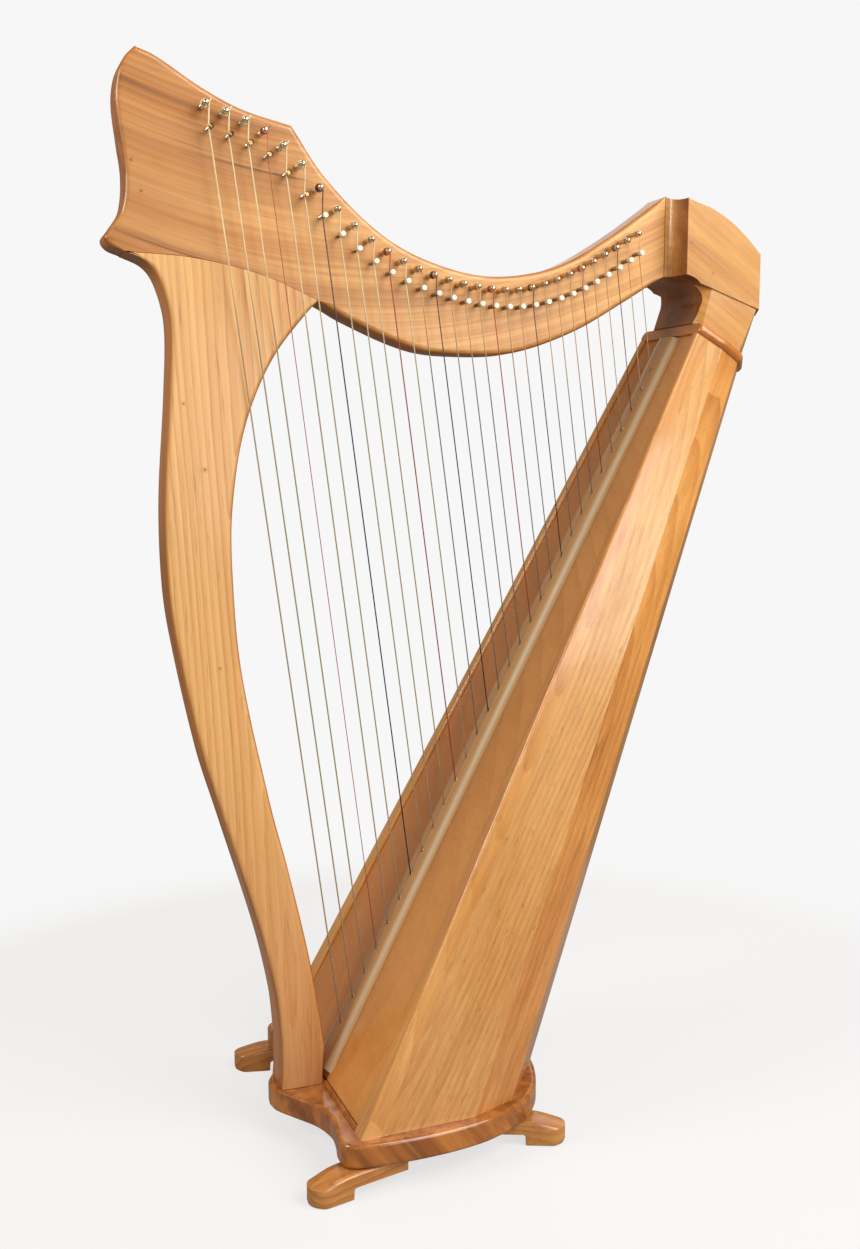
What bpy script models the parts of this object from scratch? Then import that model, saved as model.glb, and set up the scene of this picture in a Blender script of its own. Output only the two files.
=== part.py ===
"""Folk floor harp with thirty strings: wooden frame, stave-back soundbox, strings and tuning pins.

Run with: blender --background --python part.py

Sizes are in metres. The harp is drawn with x = 0 at the hole of the lowest string, y = 0 on its
plane of symmetry and z = 0 on the floor. The column stands towards -X, the soundbox leans
towards +X, and the strings run on the -Y side of the neck. The empty harp_frame moves the
origin to below the middle of the whole harp.

The soundbox is drawn in the frame of the empty board_frame: its z runs up the line of string
holes, its y goes across the board, and its x is the depth behind the board's highest strip.
"""

import math

import bmesh
import bpy
from mathutils import Matrix, Vector

GAP = 0.0003  # between pieces that touch
CUT = 0.01  # how far a cutter runs past the piece that it cuts
ORIGIN_SHIFT = -0.11683  # moves x = 0 to below the middle of the harp

# Strings: the line of holes in the board, and the two rows of pins on the neck.
STRINGS = 30
BOARD_LEAN = math.radians(27.56)  # of the hole line, from the vertical
HOLE_1_HEIGHT = 0.0998
HOLE_SPAN = 0.7251
HOLE_GATHER = 0.084  # how much wider than the mean the first spacing is
BRIDGE_1_X = -0.1192
BRIDGE_SPAN = 0.4229
BRIDGE_GATHER = 0.194
BRIDGE_ROW = [(-0.125, 0.9372), (-0.07, 0.9172), (-0.0353, 0.885), (-0.0024, 0.8522),
              (0.0459, 0.8203), (0.0917, 0.8034), (0.1486, 0.7948), (0.1896, 0.7972),
              (0.2413, 0.8145), (0.31, 0.8552)]
TUNING_ROW = [(-0.128, 0.9555), (-0.0736, 0.9362), (-0.0405, 0.911), (-0.0073, 0.8738),
              (0.0415, 0.8384), (0.0872, 0.82), (0.1435, 0.8103), (0.1846, 0.8131),
              (0.2349, 0.8321), (0.306, 0.8735)]
PIN_ROW_LAG = 0.0046  # a tuning pin stands this far towards the bass of its bridge pin
STRING_RADIUS_BASS = 0.00068
STRING_RADIUS_TREBLE = 0.00038
STRING_HOLE_RADIUS = 0.0016
STRING_STAND_OFF = 0.0140  # of the strings from the neck's face

# Neck and column.
NECK_THICKNESS = 0.0347
COLUMN_THICKNESS = 0.038
NECK_TOP = [(-0.1798, 1.0), (-0.1630, 0.9942), (-0.1230, 0.9714), (-0.0880, 0.9563), (-0.0432, 0.9462)]
NECK_SWEEP = [(-0.0432, 0.9462), (-0.0120, 0.9035), (0.0410, 0.8573), (0.0905, 0.8346),
              (0.1500, 0.8243), (0.2160, 0.8352), (0.2740, 0.8654), (0.3385, 0.9098)]
NECK_BELLY = [(0.3385, 0.8320), (0.2950, 0.8056), (0.2400, 0.7752), (0.1770, 0.7535),
              (0.1240, 0.7495), (0.0738, 0.7537), (0.0090, 0.7779), (-0.0215, 0.7945)]
JOINT_CURVE = [(-0.0215, 0.7945), (-0.0713, 0.8141), (-0.1328, 0.8262), (-0.1935, 0.8287)]
NECK_FRONT = [(-0.1935, 0.8287), (-0.2062, 0.8330), (-0.2103, 0.8400), (-0.2045, 0.8487),
              (-0.1945, 0.8650), (-0.1912, 0.8940), (-0.1947, 0.9252), (-0.1977, 0.9560),
              (-0.1952, 0.9763), (-0.1890, 0.9900), (-0.1798, 1.0)]
COLUMN_FRONT = [(-0.1935, 0.8287), (-0.1743, 0.8196), (-0.1634, 0.8024), (-0.1560, 0.7700),
                (-0.1578, 0.7105), (-0.1645, 0.6150), (-0.1640, 0.5450), (-0.1588, 0.4963),
                (-0.1365, 0.3846), (-0.1168, 0.3166), (-0.0838, 0.2037), (-0.0700, 0.1400),
                (-0.0655, 0.0950)]
COLUMN_BACK = [(-0.0212, 0.0850), (-0.0348, 0.1701), (-0.0560, 0.2664), (-0.0714, 0.3277),
               (-0.0970, 0.4565), (-0.1036, 0.5450), (-0.1026, 0.6079), (-0.0896, 0.6808),
               (-0.0628, 0.7423), (-0.0215, 0.7945)]
COLUMN_FOOT_FRONT_X = -0.0655
COLUMN_FOOT_BACK_X = -0.0250
BRIDGE_PIN_RADIUS = 0.0019
BRIDGE_PIN_REACH = 0.0180  # out of the neck's face
TUNING_PIN_RADIUS = 0.0025
TUNING_HOLE_RADIUS = 0.0028
TUNING_PIN_REACH = 0.0205  # out of the face that carries the strings
TUNING_KEY_REACH = 0.0160  # out of the other face, with the square end for the tuning key
TUNING_SQUARE = 0.0034
TUNING_SHAFT_END = 0.0030  # how far the round shaft runs past the other face
TUNING_SHAFT_LAP = 0.0020  # of the square end and the shaft
TUNING_TIP_LENGTH = 0.0012
TUNING_TIP_SHARE = 0.6  # of the pin's radius at its tip

# Soundbox: half widths and depths run straight from the lowest hole to the collar.
COLLAR_S = 0.7650  # along the hole line
HALF_WIDTH = (0.1325, 0.0550)
RAIL_SHARE = 0.145  # of the half width
RAIL_FRONT = 0.002
RAIL_BACK = 0.0182
RAIL_CLEARANCE = 0.0015  # from the rails to the blocks and braces between them
STAVE_CLEARANCE = 0.0012  # from the staves to the same pieces
SIDE_CORNER = (0.1024, 0.0350, 1.0)  # depth at each end, share of the half width
REAR_CORNER = (0.1446, 0.0605, 0.874)
BACK_CORNER = (0.1886, 0.0786, 0.42)
STAVE_THICKNESS = 0.006
BOARD_FRONT = 0.0050
BOARD_THICKNESS = 0.0035
BOARD_GROOVE = 0.006  # how far the board's edge sits in the rail
RIB_PROFILE = [(0.0047, 0.0225), (0.0040, 0.0200), (0.0010, 0.0132), (0.0, 0.0100)]  # depth, half width
RIB_START_S = -0.046
RIB_END_S = 0.7610
LINER_THICKNESS = 0.004
LINER_HALF_WIDTH = 0.009
BOX_TOP_S = 0.7620
TRIM_TOP_S = -0.0535
TRIM_BACK = 0.0048
BOTTOM_BLOCK_HEIGHT = 0.022
TOP_BLOCK_HEIGHT = 0.030
BRACES = {"brace_lower": (0.250, 0.045), "brace_upper": (0.520, 0.027)}  # place, hole radius
BRACE_THICKNESS = 0.009
ACCESS_HOLES = [(0.150, 0.032, 0.042), (0.325, 0.027, 0.038), (0.475, 0.022, 0.034),
                (0.615, 0.015, 0.028)]  # place, half width, half height
COLLAR_THICKNESS = 0.0115
COLLAR_OVERHANG = 0.0035

# Shoulder block between the neck and the collar.
BLOCK_CROWN = [(0.3388, 0.9098), (0.3506, 0.9035), (0.3630, 0.8997), (0.3753, 0.8960),
               (0.3964, 0.8852), (0.4156, 0.8708), (0.4319, 0.8556)]
BLOCK_BACK = [(0.4400, 0.8470), (0.4425, 0.8370), (0.4440, 0.7960)]
BLOCK_ARCH = [(0.3589, 0.7853), (0.3655, 0.8005), (0.3690, 0.8100), (0.3672, 0.8185),
              (0.3607, 0.8265), (0.3502, 0.8312), (0.3388, 0.8320)]
BLOCK_HALF_WIDTH = 0.0455
BLOCK_SEAT = [(-0.0600, 0.0330), (0.0010, 0.0330), (0.0095, 0.0490), (0.0585, 0.0475),
              (0.0786, 0.0215)]  # depth and half width where it stands on the collar
BLOCK_SEAT_BACK = 0.083
BLOCK_LOWER = [(0.2800, 0.0320), (0.3630, 0.0320), (0.3780, 0.0443), (0.4305, 0.0443),
               (0.4425, 0.0220)]  # x and half width where its lower facets end
BLOCK_UPPER = [(0.2800, 0.0455), (0.3500, 0.0455), (0.3780, 0.0458), (0.4325, 0.0458),
               (0.4440, 0.0225)]  # and where the wider part above them starts
BLOCK_CREASE_Z = 0.8010  # at the back corner
BLOCK_CREASE_FALL = 0.33  # towards the back
COVE_LENGTH = 0.0090
COVE_HEIGHTS = (0.74, 0.95)
PAST_CROWN = 0.12  # how far the outline of the facets runs on above their upper edge

# Base plate and feet.
PLATE_TOP = 0.0470
FOOT_TOP = 0.0235
PLATE_NOSE = [(-0.0735, 0.0), (-0.0710, -0.0130), (-0.0595, -0.0320), (-0.0430, -0.0590),
              (-0.0365, -0.0850), (-0.0385, -0.1060), (-0.0420, -0.1230), (-0.0400, -0.1370),
              (-0.0300, -0.1445), (0.0150, -0.1490), (0.0600, -0.1478), (0.0950, -0.1420),
              (0.1180, -0.1340)]
PLATE_TAIL = [(0.1180, -0.1340), (0.1450, -0.1190), (0.1660, -0.0965), (0.1800, -0.0700),
              (0.1900, -0.0380), (0.1935, 0.0)]
FOOT_WIDTH = 0.029
FOOT_LENGTH = 0.095
PAD_LENGTH = 0.038
BAR_BOTTOM = 0.0112
TIP_DROP = 0.0065
TIP_LENGTH = 0.045  # of the foot's top that falls towards the tip
FEET = {"foot_front": (-0.0755, 0.1448, 180 - 13.0), "foot_rear": (0.1870, 0.1216, 24.0)}

LOOKS = {
    "honey_wood": ((0.52, 0.26, 0.09), 0.30, 0.0),
    "pale_wood": ((0.66, 0.40, 0.17), 0.30, 0.0),
    "red_wood": ((0.36, 0.13, 0.04), 0.30, 0.0),
    "board_wood": ((0.50, 0.27, 0.09), 0.25, 0.0),
    "inner_wood": ((0.60, 0.40, 0.20), 0.60, 0.0),
    "string": ((0.80, 0.74, 0.58), 0.35, 0.0),
    "nickel": ((0.70, 0.69, 0.66), 0.22, 1.0),
}


def clear_scene():
    for old in list(bpy.data.objects):
        bpy.data.objects.remove(old, do_unlink=True)


def look(name):
    """The material of this name, made once."""
    found = bpy.data.materials.get(name)
    if found:
        return found
    colour, roughness, metallic = LOOKS[name]
    made = bpy.data.materials.new(name)
    made.use_nodes = True
    shader = made.node_tree.nodes["Principled BSDF"]
    shader.inputs["Base Color"].default_value = (*colour, 1.0)
    shader.inputs["Roughness"].default_value = roughness
    shader.inputs["Metallic"].default_value = metallic
    made.diffuse_color = (*colour, 1.0)
    return made


def empty(name, parent=None, location=(0, 0, 0), rotation=(0, 0, 0)):
    obj = bpy.data.objects.new(name, None)
    bpy.context.scene.collection.objects.link(obj)
    obj.parent = parent
    obj.location = location
    obj.rotation_euler = rotation
    return obj


def piece(name, mesh, material, parent, location=(0, 0, 0), rotation=(0, 0, 0)):
    obj = bpy.data.objects.new(name, mesh)
    bpy.context.scene.collection.objects.link(obj)
    obj.parent = parent
    obj.location = location
    obj.rotation_euler = rotation
    if not mesh.materials:
        mesh.materials.append(look(material))
    return obj


def tool(name, mesh, parent, location=(0, 0, 0)):
    """A solid that only cuts or joins another, and isn't part of the harp."""
    obj = bpy.data.objects.new(name, mesh)
    bpy.context.scene.collection.objects.link(obj)
    obj.parent = parent
    obj.location = location
    obj.hide_render = True
    obj.display_type = "WIRE"
    return obj


def boolean(obj, other, operation="DIFFERENCE"):
    step = obj.modifiers.new(operation.title(), "BOOLEAN")
    step.operation = operation
    step.solver = "EXACT"
    step.object = other


def rings_mesh(name, groups):
    """A mesh of closed bodies. Each body is a list of rings with the same number of points."""
    bm = bmesh.new()
    for rings in groups:
        rows = [[bm.verts.new(point) for point in ring] for ring in rings]
        for low, high in zip(rows, rows[1:]):
            for i, vert in enumerate(low):
                j = (i + 1) % len(low)
                bm.faces.new((vert, low[j], high[j], high[i]))
        bm.faces.new(rows[0][::-1])
        bm.faces.new(rows[-1])
    bmesh.ops.recalc_face_normals(bm, faces=bm.faces)
    mesh = bpy.data.meshes.new(name)
    bm.to_mesh(mesh)
    bm.free()
    return mesh


def upright_prism(name, outline, half_thickness):
    """An outline in x and z, extruded to both sides of y = 0."""
    rings = [[(x, side * half_thickness, z) for x, z in outline] for side in (-1, 1)]
    return rings_mesh(name, [rings])


def flat_prism(name, outline, low, high):
    """An outline in x and y, extruded from one height to another."""
    return rings_mesh(name, [[[(x, y, z) for x, y in outline] for z in (low, high)]])


def curve(points, steps=4):
    """Points on a smooth curve through these points, which starts and ends on them."""
    knots = [Vector(p) for p in points]
    knots = [2 * knots[0] - knots[1], *knots, 2 * knots[-1] - knots[-2]]
    found = []
    for a, b, c, d in zip(knots, knots[1:], knots[2:], knots[3:]):
        size = (c - b).length
        start = (c - a) * (size / ((b - a).length + size))
        end = (d - b) * (size / (size + (d - c).length))
        for k in range(steps):
            t = k / steps
            found.append((2 * t**3 - 3 * t**2 + 1) * b + (t**3 - 2 * t**2 + t) * start
                         + (3 * t**2 - 2 * t**3) * c + (t**3 - t**2) * end)
    found.append(knots[-2])
    return [tuple(p) for p in found]


def joined(*stretches):
    """One closed outline from stretches that each start where the one before ends."""
    return [point for stretch in stretches for point in stretch[:-1]]


def height_at(row, x):
    """The height of a row of pins at x."""
    line = curve(row, 8)
    for (x0, z0), (x1, z1) in zip(line, line[1:]):
        if x0 <= x <= x1:
            return z0 + (z1 - z0) * (x - x0) / (x1 - x0)
    raise ValueError(f"{x} is off the row")


def spread(index, span, gather):
    """The place of a string along a row whose spacing narrows evenly."""
    t = index / (STRINGS - 1)
    return span * (t + gather * (t - t * t))


def hole_s(index):
    return spread(index, HOLE_SPAN, HOLE_GATHER)


def bridge_place(index):
    x = BRIDGE_1_X + spread(index, BRIDGE_SPAN, BRIDGE_GATHER)
    return Vector((x, 0, height_at(BRIDGE_ROW, x)))


def tuning_place(index):
    x = bridge_place(index).x - PIN_ROW_LAG
    return Vector((x, 0, height_at(TUNING_ROW, x)))


def string_radius(index):
    share = index / (STRINGS - 1)
    return STRING_RADIUS_BASS + share * (STRING_RADIUS_TREBLE - STRING_RADIUS_BASS)


BOARD_TO_HARP = Matrix.Translation((0, 0, HOLE_1_HEIGHT)) @ Matrix.Rotation(BOARD_LEAN, 4, "Y")
HARP_TO_BOARD = BOARD_TO_HARP.inverted()


def half_width(s):
    return HALF_WIDTH[0] + (HALF_WIDTH[1] - HALF_WIDTH[0]) * s / COLLAR_S


def corner(kind, s, side):
    """A corner of the soundbox's outside at s, in the board's frame."""
    depth = kind[0] + (kind[1] - kind[0]) * s / COLLAR_S
    return Vector((depth, side * kind[2] * half_width(s), s))


RAIL_CORNER = (RAIL_BACK, RAIL_BACK, 1.0)
OUTSIDE = [RAIL_CORNER, SIDE_CORNER, REAR_CORNER, BACK_CORNER]


def section(s, inset=0.0, front=None):
    """The soundbox's outside at s, moved inwards, as a closed ring in the board's frame."""
    ring = [corner(kind, s, -1) for kind in OUTSIDE] + [corner(k, s, 1) for k in OUTSIDE[::-1]]
    if front is not None:
        ring[0].x = ring[-1].x = front
    moved = []
    for i, point in enumerate(ring):
        before, after = ring[i - 1], ring[(i + 1) % len(ring)]
        first, second = (point - before).normalized(), (after - point).normalized()
        normal_1 = Vector((-first.y, first.x, 0))
        normal_2 = Vector((-second.y, second.x, 0))
        inward = (normal_1 + normal_2).normalized()
        moved.append(point + inward * inset / inward.dot(normal_1))
    return moved


def board_height(point):
    """The height above the floor of a point in the board's frame."""
    return (BOARD_TO_HARP @ Vector(point)).z


def level_point(index, inset, front, height):
    """Where one long edge of the moved soundbox outside meets a level plane."""
    low = section(-0.05, inset, front)[index]
    high = section(COLLAR_S, inset, front)[index]
    share = (height - board_height(low)) / (board_height(high) - board_height(low))
    return low + share * (high - low)


def level_section(inset, front, height):
    return [level_point(i, inset, front, height) for i in range(2 * len(OUTSIDE))]


def board_bottom(x, height):
    """How far up the board a level plane meets a given depth."""
    return (height - HOLE_1_HEIGHT + x * math.sin(BOARD_LEAN)) / math.cos(BOARD_LEAN)


def make_neck(frame):
    outline = joined(curve(NECK_TOP, 3), curve(NECK_SWEEP, 5), [NECK_SWEEP[-1], NECK_BELLY[0]],
                     curve(NECK_BELLY, 5), curve(JOINT_CURVE, 4), curve(NECK_FRONT, 4))
    neck = piece("neck", upright_prism("neck", outline, NECK_THICKNESS / 2), "honey_wood", frame)
    reach = NECK_THICKNESS / 2 + CUT
    drills = [[round_ring(tuning_place(i) + Vector((0, y, 0)), TUNING_HOLE_RADIUS, 8)
               for y in (-reach, reach)] for i in range(STRINGS)]
    boolean(neck, tool("neck_drills", rings_mesh("neck_drills", drills), frame))


def round_ring(centre, radius, sides):
    """A ring around y through a centre."""
    turn = [math.tau * k / sides for k in range(sides)]
    return [(centre.x + radius * math.cos(a), centre.y, centre.z + radius * math.sin(a))
            for a in turn]


def make_column(frame):
    joint = [(x, z - GAP) for x, z in curve(JOINT_CURVE, 4)]
    front = curve(COLUMN_FRONT, 3)
    back = curve(COLUMN_BACK, 4)
    bottom = PLATE_TOP + GAP
    foot = [(COLUMN_FOOT_FRONT_X, bottom), (COLUMN_FOOT_BACK_X, bottom)]
    outline = joint[:-1] + front[1:] + foot + back[:-1]
    mesh = upright_prism("column", outline, COLUMN_THICKNESS / 2)
    piece("column", mesh, "pale_wood", frame)


def make_rails(board):
    """Grooved strips that hold the soundboard's edges."""
    for name, side in (("rail_right", -1), ("rail_left", 1)):
        rings = []
        for end in ("low", "high"):
            s = COLLAR_S if end == "high" else 0.0
            wide = half_width(s)
            inner = wide * (1 - RAIL_SHARE)
            groove = inner + BOARD_GROOVE
            front, back = BOARD_FRONT - GAP, BOARD_FRONT + BOARD_THICKNESS + GAP
            outline = [(RAIL_FRONT, inner), (RAIL_FRONT, wide), (RAIL_BACK - GAP, wide),
                       (RAIL_BACK - GAP, inner), (back, inner), (back, groove),
                       (front, groove), (front, inner)]
            rings.append((s, outline))
        rows = []
        for height in (PLATE_TOP + GAP, None):
            row = []
            for (x, y0), (_, y1) in zip(rings[0][1], rings[1][1]):
                s = BOX_TOP_S if height is None else board_bottom(x, height)
                row.append((x, side * (y0 + (y1 - y0) * s / COLLAR_S), s))
            rows.append(row)
        piece(name, rings_mesh(name, [rows]), "red_wood", board)


def make_soundboard(board):
    front, back = BOARD_FRONT, BOARD_FRONT + BOARD_THICKNESS
    rows = []
    for top in (False, True):
        row = []
        for x, side in ((front, -1), (front, 1), (back, 1), (back, -1)):
            s = BOX_TOP_S if top else max(TRIM_TOP_S + GAP, board_bottom(x, PLATE_TOP + GAP))
            wide = half_width(s) * (1 - RAIL_SHARE) + BOARD_GROOVE - GAP
            row.append((x, side * wide, s))
        rows.append(row)
    soundboard = piece("soundboard", rings_mesh("soundboard", [rows]), "board_wood", board)
    boolean(soundboard, string_drills("soundboard_drills", board))


def string_drills(name, board):
    """One drill for each string, square to the board."""
    drills = []
    for i in range(STRINGS):
        turn = [math.tau * k / 6 for k in range(6)]
        rings = [[(x, STRING_HOLE_RADIUS * math.cos(a), hole_s(i) + STRING_HOLE_RADIUS * math.sin(a))
                  for a in turn] for x in (-CUT, BOARD_FRONT + BOARD_THICKNESS + CUT)]
        drills.append(rings)
    return tool(name, rings_mesh(name, drills), board)


def make_rib(board):
    """The hard strip on the soundboard that the strings come out of."""
    rows = [[(x, y, s) for x, y in mirrored(RIB_PROFILE)] for s in (RIB_START_S, RIB_END_S)]
    rib = piece("string_rib", rings_mesh("string_rib", [rows]), "pale_wood", board)
    boolean(rib, string_drills("rib_drills", board))


def make_trims(board):
    """The strips along the foot of the soundboard, at both sides of the column."""
    inner = COLUMN_THICKNESS / 2 + GAP
    for name, side in (("foot_trim_right", -1), ("foot_trim_left", 1)):
        rows = []
        for top in (False, True):
            row = []
            for x, outer in ((RAIL_FRONT, False), (RAIL_FRONT, True), (TRIM_BACK, True), (TRIM_BACK, False)):
                s = TRIM_TOP_S if top else board_bottom(x, PLATE_TOP + GAP)
                wide = half_width(s) * (1 - RAIL_SHARE) - GAP
                row.append((x, side * (wide if outer else inner), s))
            rows.append(row)
        piece(name, rings_mesh(name, [rows]), "red_wood", board)


def make_staves(board):
    """Boards that wrap the sides and the back, mitred to each other."""
    outer = [level_section(0, None, PLATE_TOP + GAP), section(BOX_TOP_S)]
    inner = [level_section(STAVE_THICKNESS, None, PLATE_TOP + GAP), section(BOX_TOP_S, STAVE_THICKNESS)]
    names = ["stave_side_right", "stave_rear_right", "stave_corner_right", "stave_back",
             "stave_corner_left", "stave_rear_left", "stave_side_left"]
    colours = ["pale_wood", "honey_wood", "honey_wood", "pale_wood", "honey_wood", "honey_wood", "pale_wood"]
    for i, (name, colour) in enumerate(zip(names, colours)):
        rows = []
        for out, into in zip(outer, inner):
            along = (out[i + 1] - out[i]).normalized() * (GAP / 2)
            rows.append([out[i] + along, out[i + 1] - along, into[i + 1] - along, into[i] + along])
        stave = piece(name, rings_mesh(name, [rows]), colour, board)
        if name == "stave_back":
            boolean(stave, access_cutters(board))


def access_cutters(board):
    """Oval openings in the back, through which a hand reaches the knots of the strings."""
    groups = []
    for s, wide, tall in ACCESS_HOLES:
        depth = corner(BACK_CORNER, s, 1).x
        turn = [math.tau * k / 20 for k in range(20)]
        oval = [(wide * math.cos(a), s + tall * math.sin(a)) for a in turn]
        groups.append([[(x, y, z) for y, z in oval] for x in (depth - 0.03, depth + 0.03)])
    return tool("access_cutters", rings_mesh("access_cutters", groups), board)


def block_ring(inset, front, s=None, height=None):
    """A ring inside the staves and the rails, and behind the soundboard."""
    ring = section(s, inset) if height is None else level_section(inset, None, height)
    for i in (0, -1):
        ring[i].x = front
        if height is not None:
            ring[i].z = board_bottom(front, height)
        inner = half_width(ring[i].z) * (1 - RAIL_SHARE) - RAIL_CLEARANCE
        ring[i].y = math.copysign(inner, ring[i].y)
    return ring


def make_inner_blocks(board):
    inside = STAVE_THICKNESS + STAVE_CLEARANCE
    behind_liner = BOARD_FRONT + BOARD_THICKNESS + LINER_THICKNESS + 3 * GAP
    bottom = PLATE_TOP + GAP
    rows = [block_ring(inside, behind_liner, height=h) for h in (bottom, bottom + BOTTOM_BLOCK_HEIGHT)]
    piece("bottom_block", rings_mesh("bottom_block", [rows]), "inner_wood", board)
    rows = [block_ring(inside, behind_liner, s=s) for s in (BOX_TOP_S - TOP_BLOCK_HEIGHT, BOX_TOP_S)]
    piece("top_block", rings_mesh("top_block", [rows]), "inner_wood", board)
    for name, (s, radius) in BRACES.items():
        rows = [block_ring(inside, behind_liner, s=s + k * BRACE_THICKNESS) for k in (-0.5, 0.5)]
        brace = piece(name, rings_mesh(name, [rows]), "inner_wood", board)
        middle = (behind_liner + corner(BACK_CORNER, s, 1).x) / 2
        turn = [math.tau * k / 20 for k in range(20)]
        hole = [[(middle + radius * math.cos(a), radius * math.sin(a), s + k) for a in turn]
                for k in (-CUT, CUT)]
        boolean(brace, tool(name + "_hole", rings_mesh(name + "_hole", [hole]), board))


def make_collar(board):
    """The bead around the top of the soundbox."""
    rows = []
    for s in (BOX_TOP_S + GAP, BOX_TOP_S + COLLAR_THICKNESS):
        ring = section(COLLAR_S, -COLLAR_OVERHANG, RAIL_FRONT)
        rows.append([Vector((p.x, p.y, s)) for p in ring])
    piece("collar", rings_mesh("collar", [rows]), "red_wood", board)


def make_shoulder_block(frame):
    """The carved block: flush with the neck at one end, faceted like the soundbox at the other."""
    seat_s = BOX_TOP_S + COLLAR_THICKNESS + GAP
    seat = [BOARD_TO_HARP @ Vector((x, 0, seat_s)) for x in (BLOCK_SEAT_BACK, BLOCK_SEAT[1][0])]
    seat = [(p.x, p.z) for p in seat]
    outline = curve(BLOCK_CROWN, 3) + BLOCK_BACK + seat + curve(BLOCK_ARCH, 4)[1:]
    slab = upright_prism("shoulder_block", outline, BLOCK_HALF_WIDTH + CUT)
    block = piece("shoulder_block", slab, "honey_wood", frame)
    wide = BLOCK_HALF_WIDTH
    seat_ring = [BOARD_TO_HARP @ Vector((x, y, seat_s - CUT)) for x, y in mirrored(BLOCK_SEAT)]
    back_corner = BLOCK_UPPER[3][0]
    lower_ring, upper_ring = [[Vector((x, y, BLOCK_CREASE_Z + (back_corner - x) * BLOCK_CREASE_FALL))
                               for x, y in mirrored(half)] for half in (BLOCK_LOWER, BLOCK_UPPER)]
    crown_ring = [p + Vector((0, 0, PAST_CROWN)) for p in upper_ring]
    envelope = rings_mesh("block_envelope", [[seat_ring, lower_ring, upper_ring, crown_ring]])
    boolean(block, tool("block_envelope", envelope, frame), "INTERSECT")
    neck_half = NECK_THICKNESS / 2
    turn = [math.tau * k / 32 for k in range(32)]
    groups = []
    for side in (-1, 1):
        oval = [(NECK_SWEEP[-1][0] + GAP + COVE_LENGTH * math.cos(a),
                 side * (wide + (wide - neck_half) * math.sin(a))) for a in turn]
        groups.append([[(x, y, z) for x, y in oval] for z in COVE_HEIGHTS])
    boolean(block, tool("block_coves", rings_mesh("block_coves", groups), frame))


def mirrored(half):
    """A closed outline from its half at +y."""
    return half + [(x, -y) for x, y in half[::-1]]


def make_base_plate(frame):
    half = joined(curve(PLATE_NOSE, 3), curve(PLATE_TAIL, 4)) + [PLATE_TAIL[-1]]
    outline = half + [(x, -y) for x, y in half[-2:0:-1]]
    mesh = flat_prism("base_plate", outline, FOOT_TOP + GAP, PLATE_TOP)
    piece("base_plate", mesh, "red_wood", frame)


def make_feet(frame):
    """Four feet, each a bar with a pad below its rounded tip. Local x runs out to the tip."""
    half = FOOT_WIDTH / 2
    crown = [(-TIP_LENGTH * (1 - t), FOOT_TOP - TIP_DROP * t * t) for t in (0, 0.25, 0.5, 0.75, 1)]
    side_view = [(-FOOT_LENGTH, FOOT_TOP), *crown, (0.0, 0.0), (-PAD_LENGTH, 0.0),
                 (-PAD_LENGTH, BAR_BOTTOM), (-FOOT_LENGTH, BAR_BOTTOM)]
    side_mesh = upright_prism("foot", side_view, half)
    turn = [math.pi * (k / 12 - 0.5) for k in range(13)]
    tip = [(half * (math.cos(a) - 1), half * math.sin(a)) for a in turn]
    plan = tip + [(-FOOT_LENGTH - CUT, half + CUT / 10), (-FOOT_LENGTH - CUT, -half - CUT / 10)]
    plan_mesh = flat_prism("foot_plan", plan, -CUT, FOOT_TOP + CUT)
    for name, (x, y, angle) in FEET.items():
        for side_name, side in (("right", -1), ("left", 1)):
            full_name = f"{name}_{side_name}"
            foot = piece(full_name, side_mesh, "honey_wood", frame, (x, side * y, 0),
                         (0, 0, side * math.radians(angle)))
            cutter = tool(full_name + "_plan", plan_mesh, foot)
            boolean(foot, cutter, "INTERSECT")


def tube(path, radius, sides=5):
    """Rings of a thin round tube along a path of points."""
    path = [Vector(p) for p in path]
    across = Vector((0, 1, 0))
    rings = []
    for i, point in enumerate(path):
        ahead = path[min(i + 1, len(path) - 1)] - path[max(i - 1, 0)]
        side = across.cross(ahead).normalized()
        up = ahead.cross(side).normalized()
        rings.append([point + radius * (math.cos(a) * side + math.sin(a) * up)
                      for a in [math.tau * k / sides for k in range(sides)]])
    return rings


def string_path(index):
    """A string from inside the liner, over its bridge pin, to beside its tuning pin."""
    radius = string_radius(index)
    inside = BOARD_FRONT + BOARD_THICKNESS + LINER_THICKNESS / 2
    rise = radius + 2 * GAP
    s = hole_s(index)
    stand = Vector((0, -NECK_THICKNESS / 2 - STRING_STAND_OFF, 0))
    bridge = bridge_place(index) + stand
    tuning = tuning_place(index) + stand
    side = Vector((1, 0, 0))
    return [BOARD_TO_HARP @ Vector((inside, 0, s)), BOARD_TO_HARP @ Vector((-rise, 0, s)),
            bridge - side * BRIDGE_PIN_RADIUS,
            tuning + side * (TUNING_PIN_RADIUS + radius + GAP)]


def make_string_set(frame, board):
    """The strings, their bridge pins and the strip inside the board that anchors them."""
    front = BOARD_FRONT + BOARD_THICKNESS + GAP
    wide = LINER_HALF_WIDTH
    outline = [(front, -wide), (front, wide), (front + LINER_THICKNESS, wide), (front + LINER_THICKNESS, -wide)]
    rows = [[(x, y, s) for x, y in outline]
            for s in (-0.020, BOX_TOP_S - TOP_BLOCK_HEIGHT - 3 * GAP)]
    strings = piece("string_set", rings_mesh("string_set", [rows]), "string", board)
    tubes = [tube(string_path(i), string_radius(i)) for i in range(STRINGS)]
    boolean(strings, tool("string_tubes", rings_mesh("string_tubes", tubes), frame), "UNION")
    near = -NECK_THICKNESS / 2 - GAP
    far = -NECK_THICKNESS / 2 - BRIDGE_PIN_REACH
    pins = [[round_ring(bridge_place(i) + Vector((0, y, 0)), BRIDGE_PIN_RADIUS, 6)
             for y in (near, far)] for i in range(STRINGS)]
    boolean(strings, tool("bridge_pins", rings_mesh("bridge_pins", pins), frame), "UNION")


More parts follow.
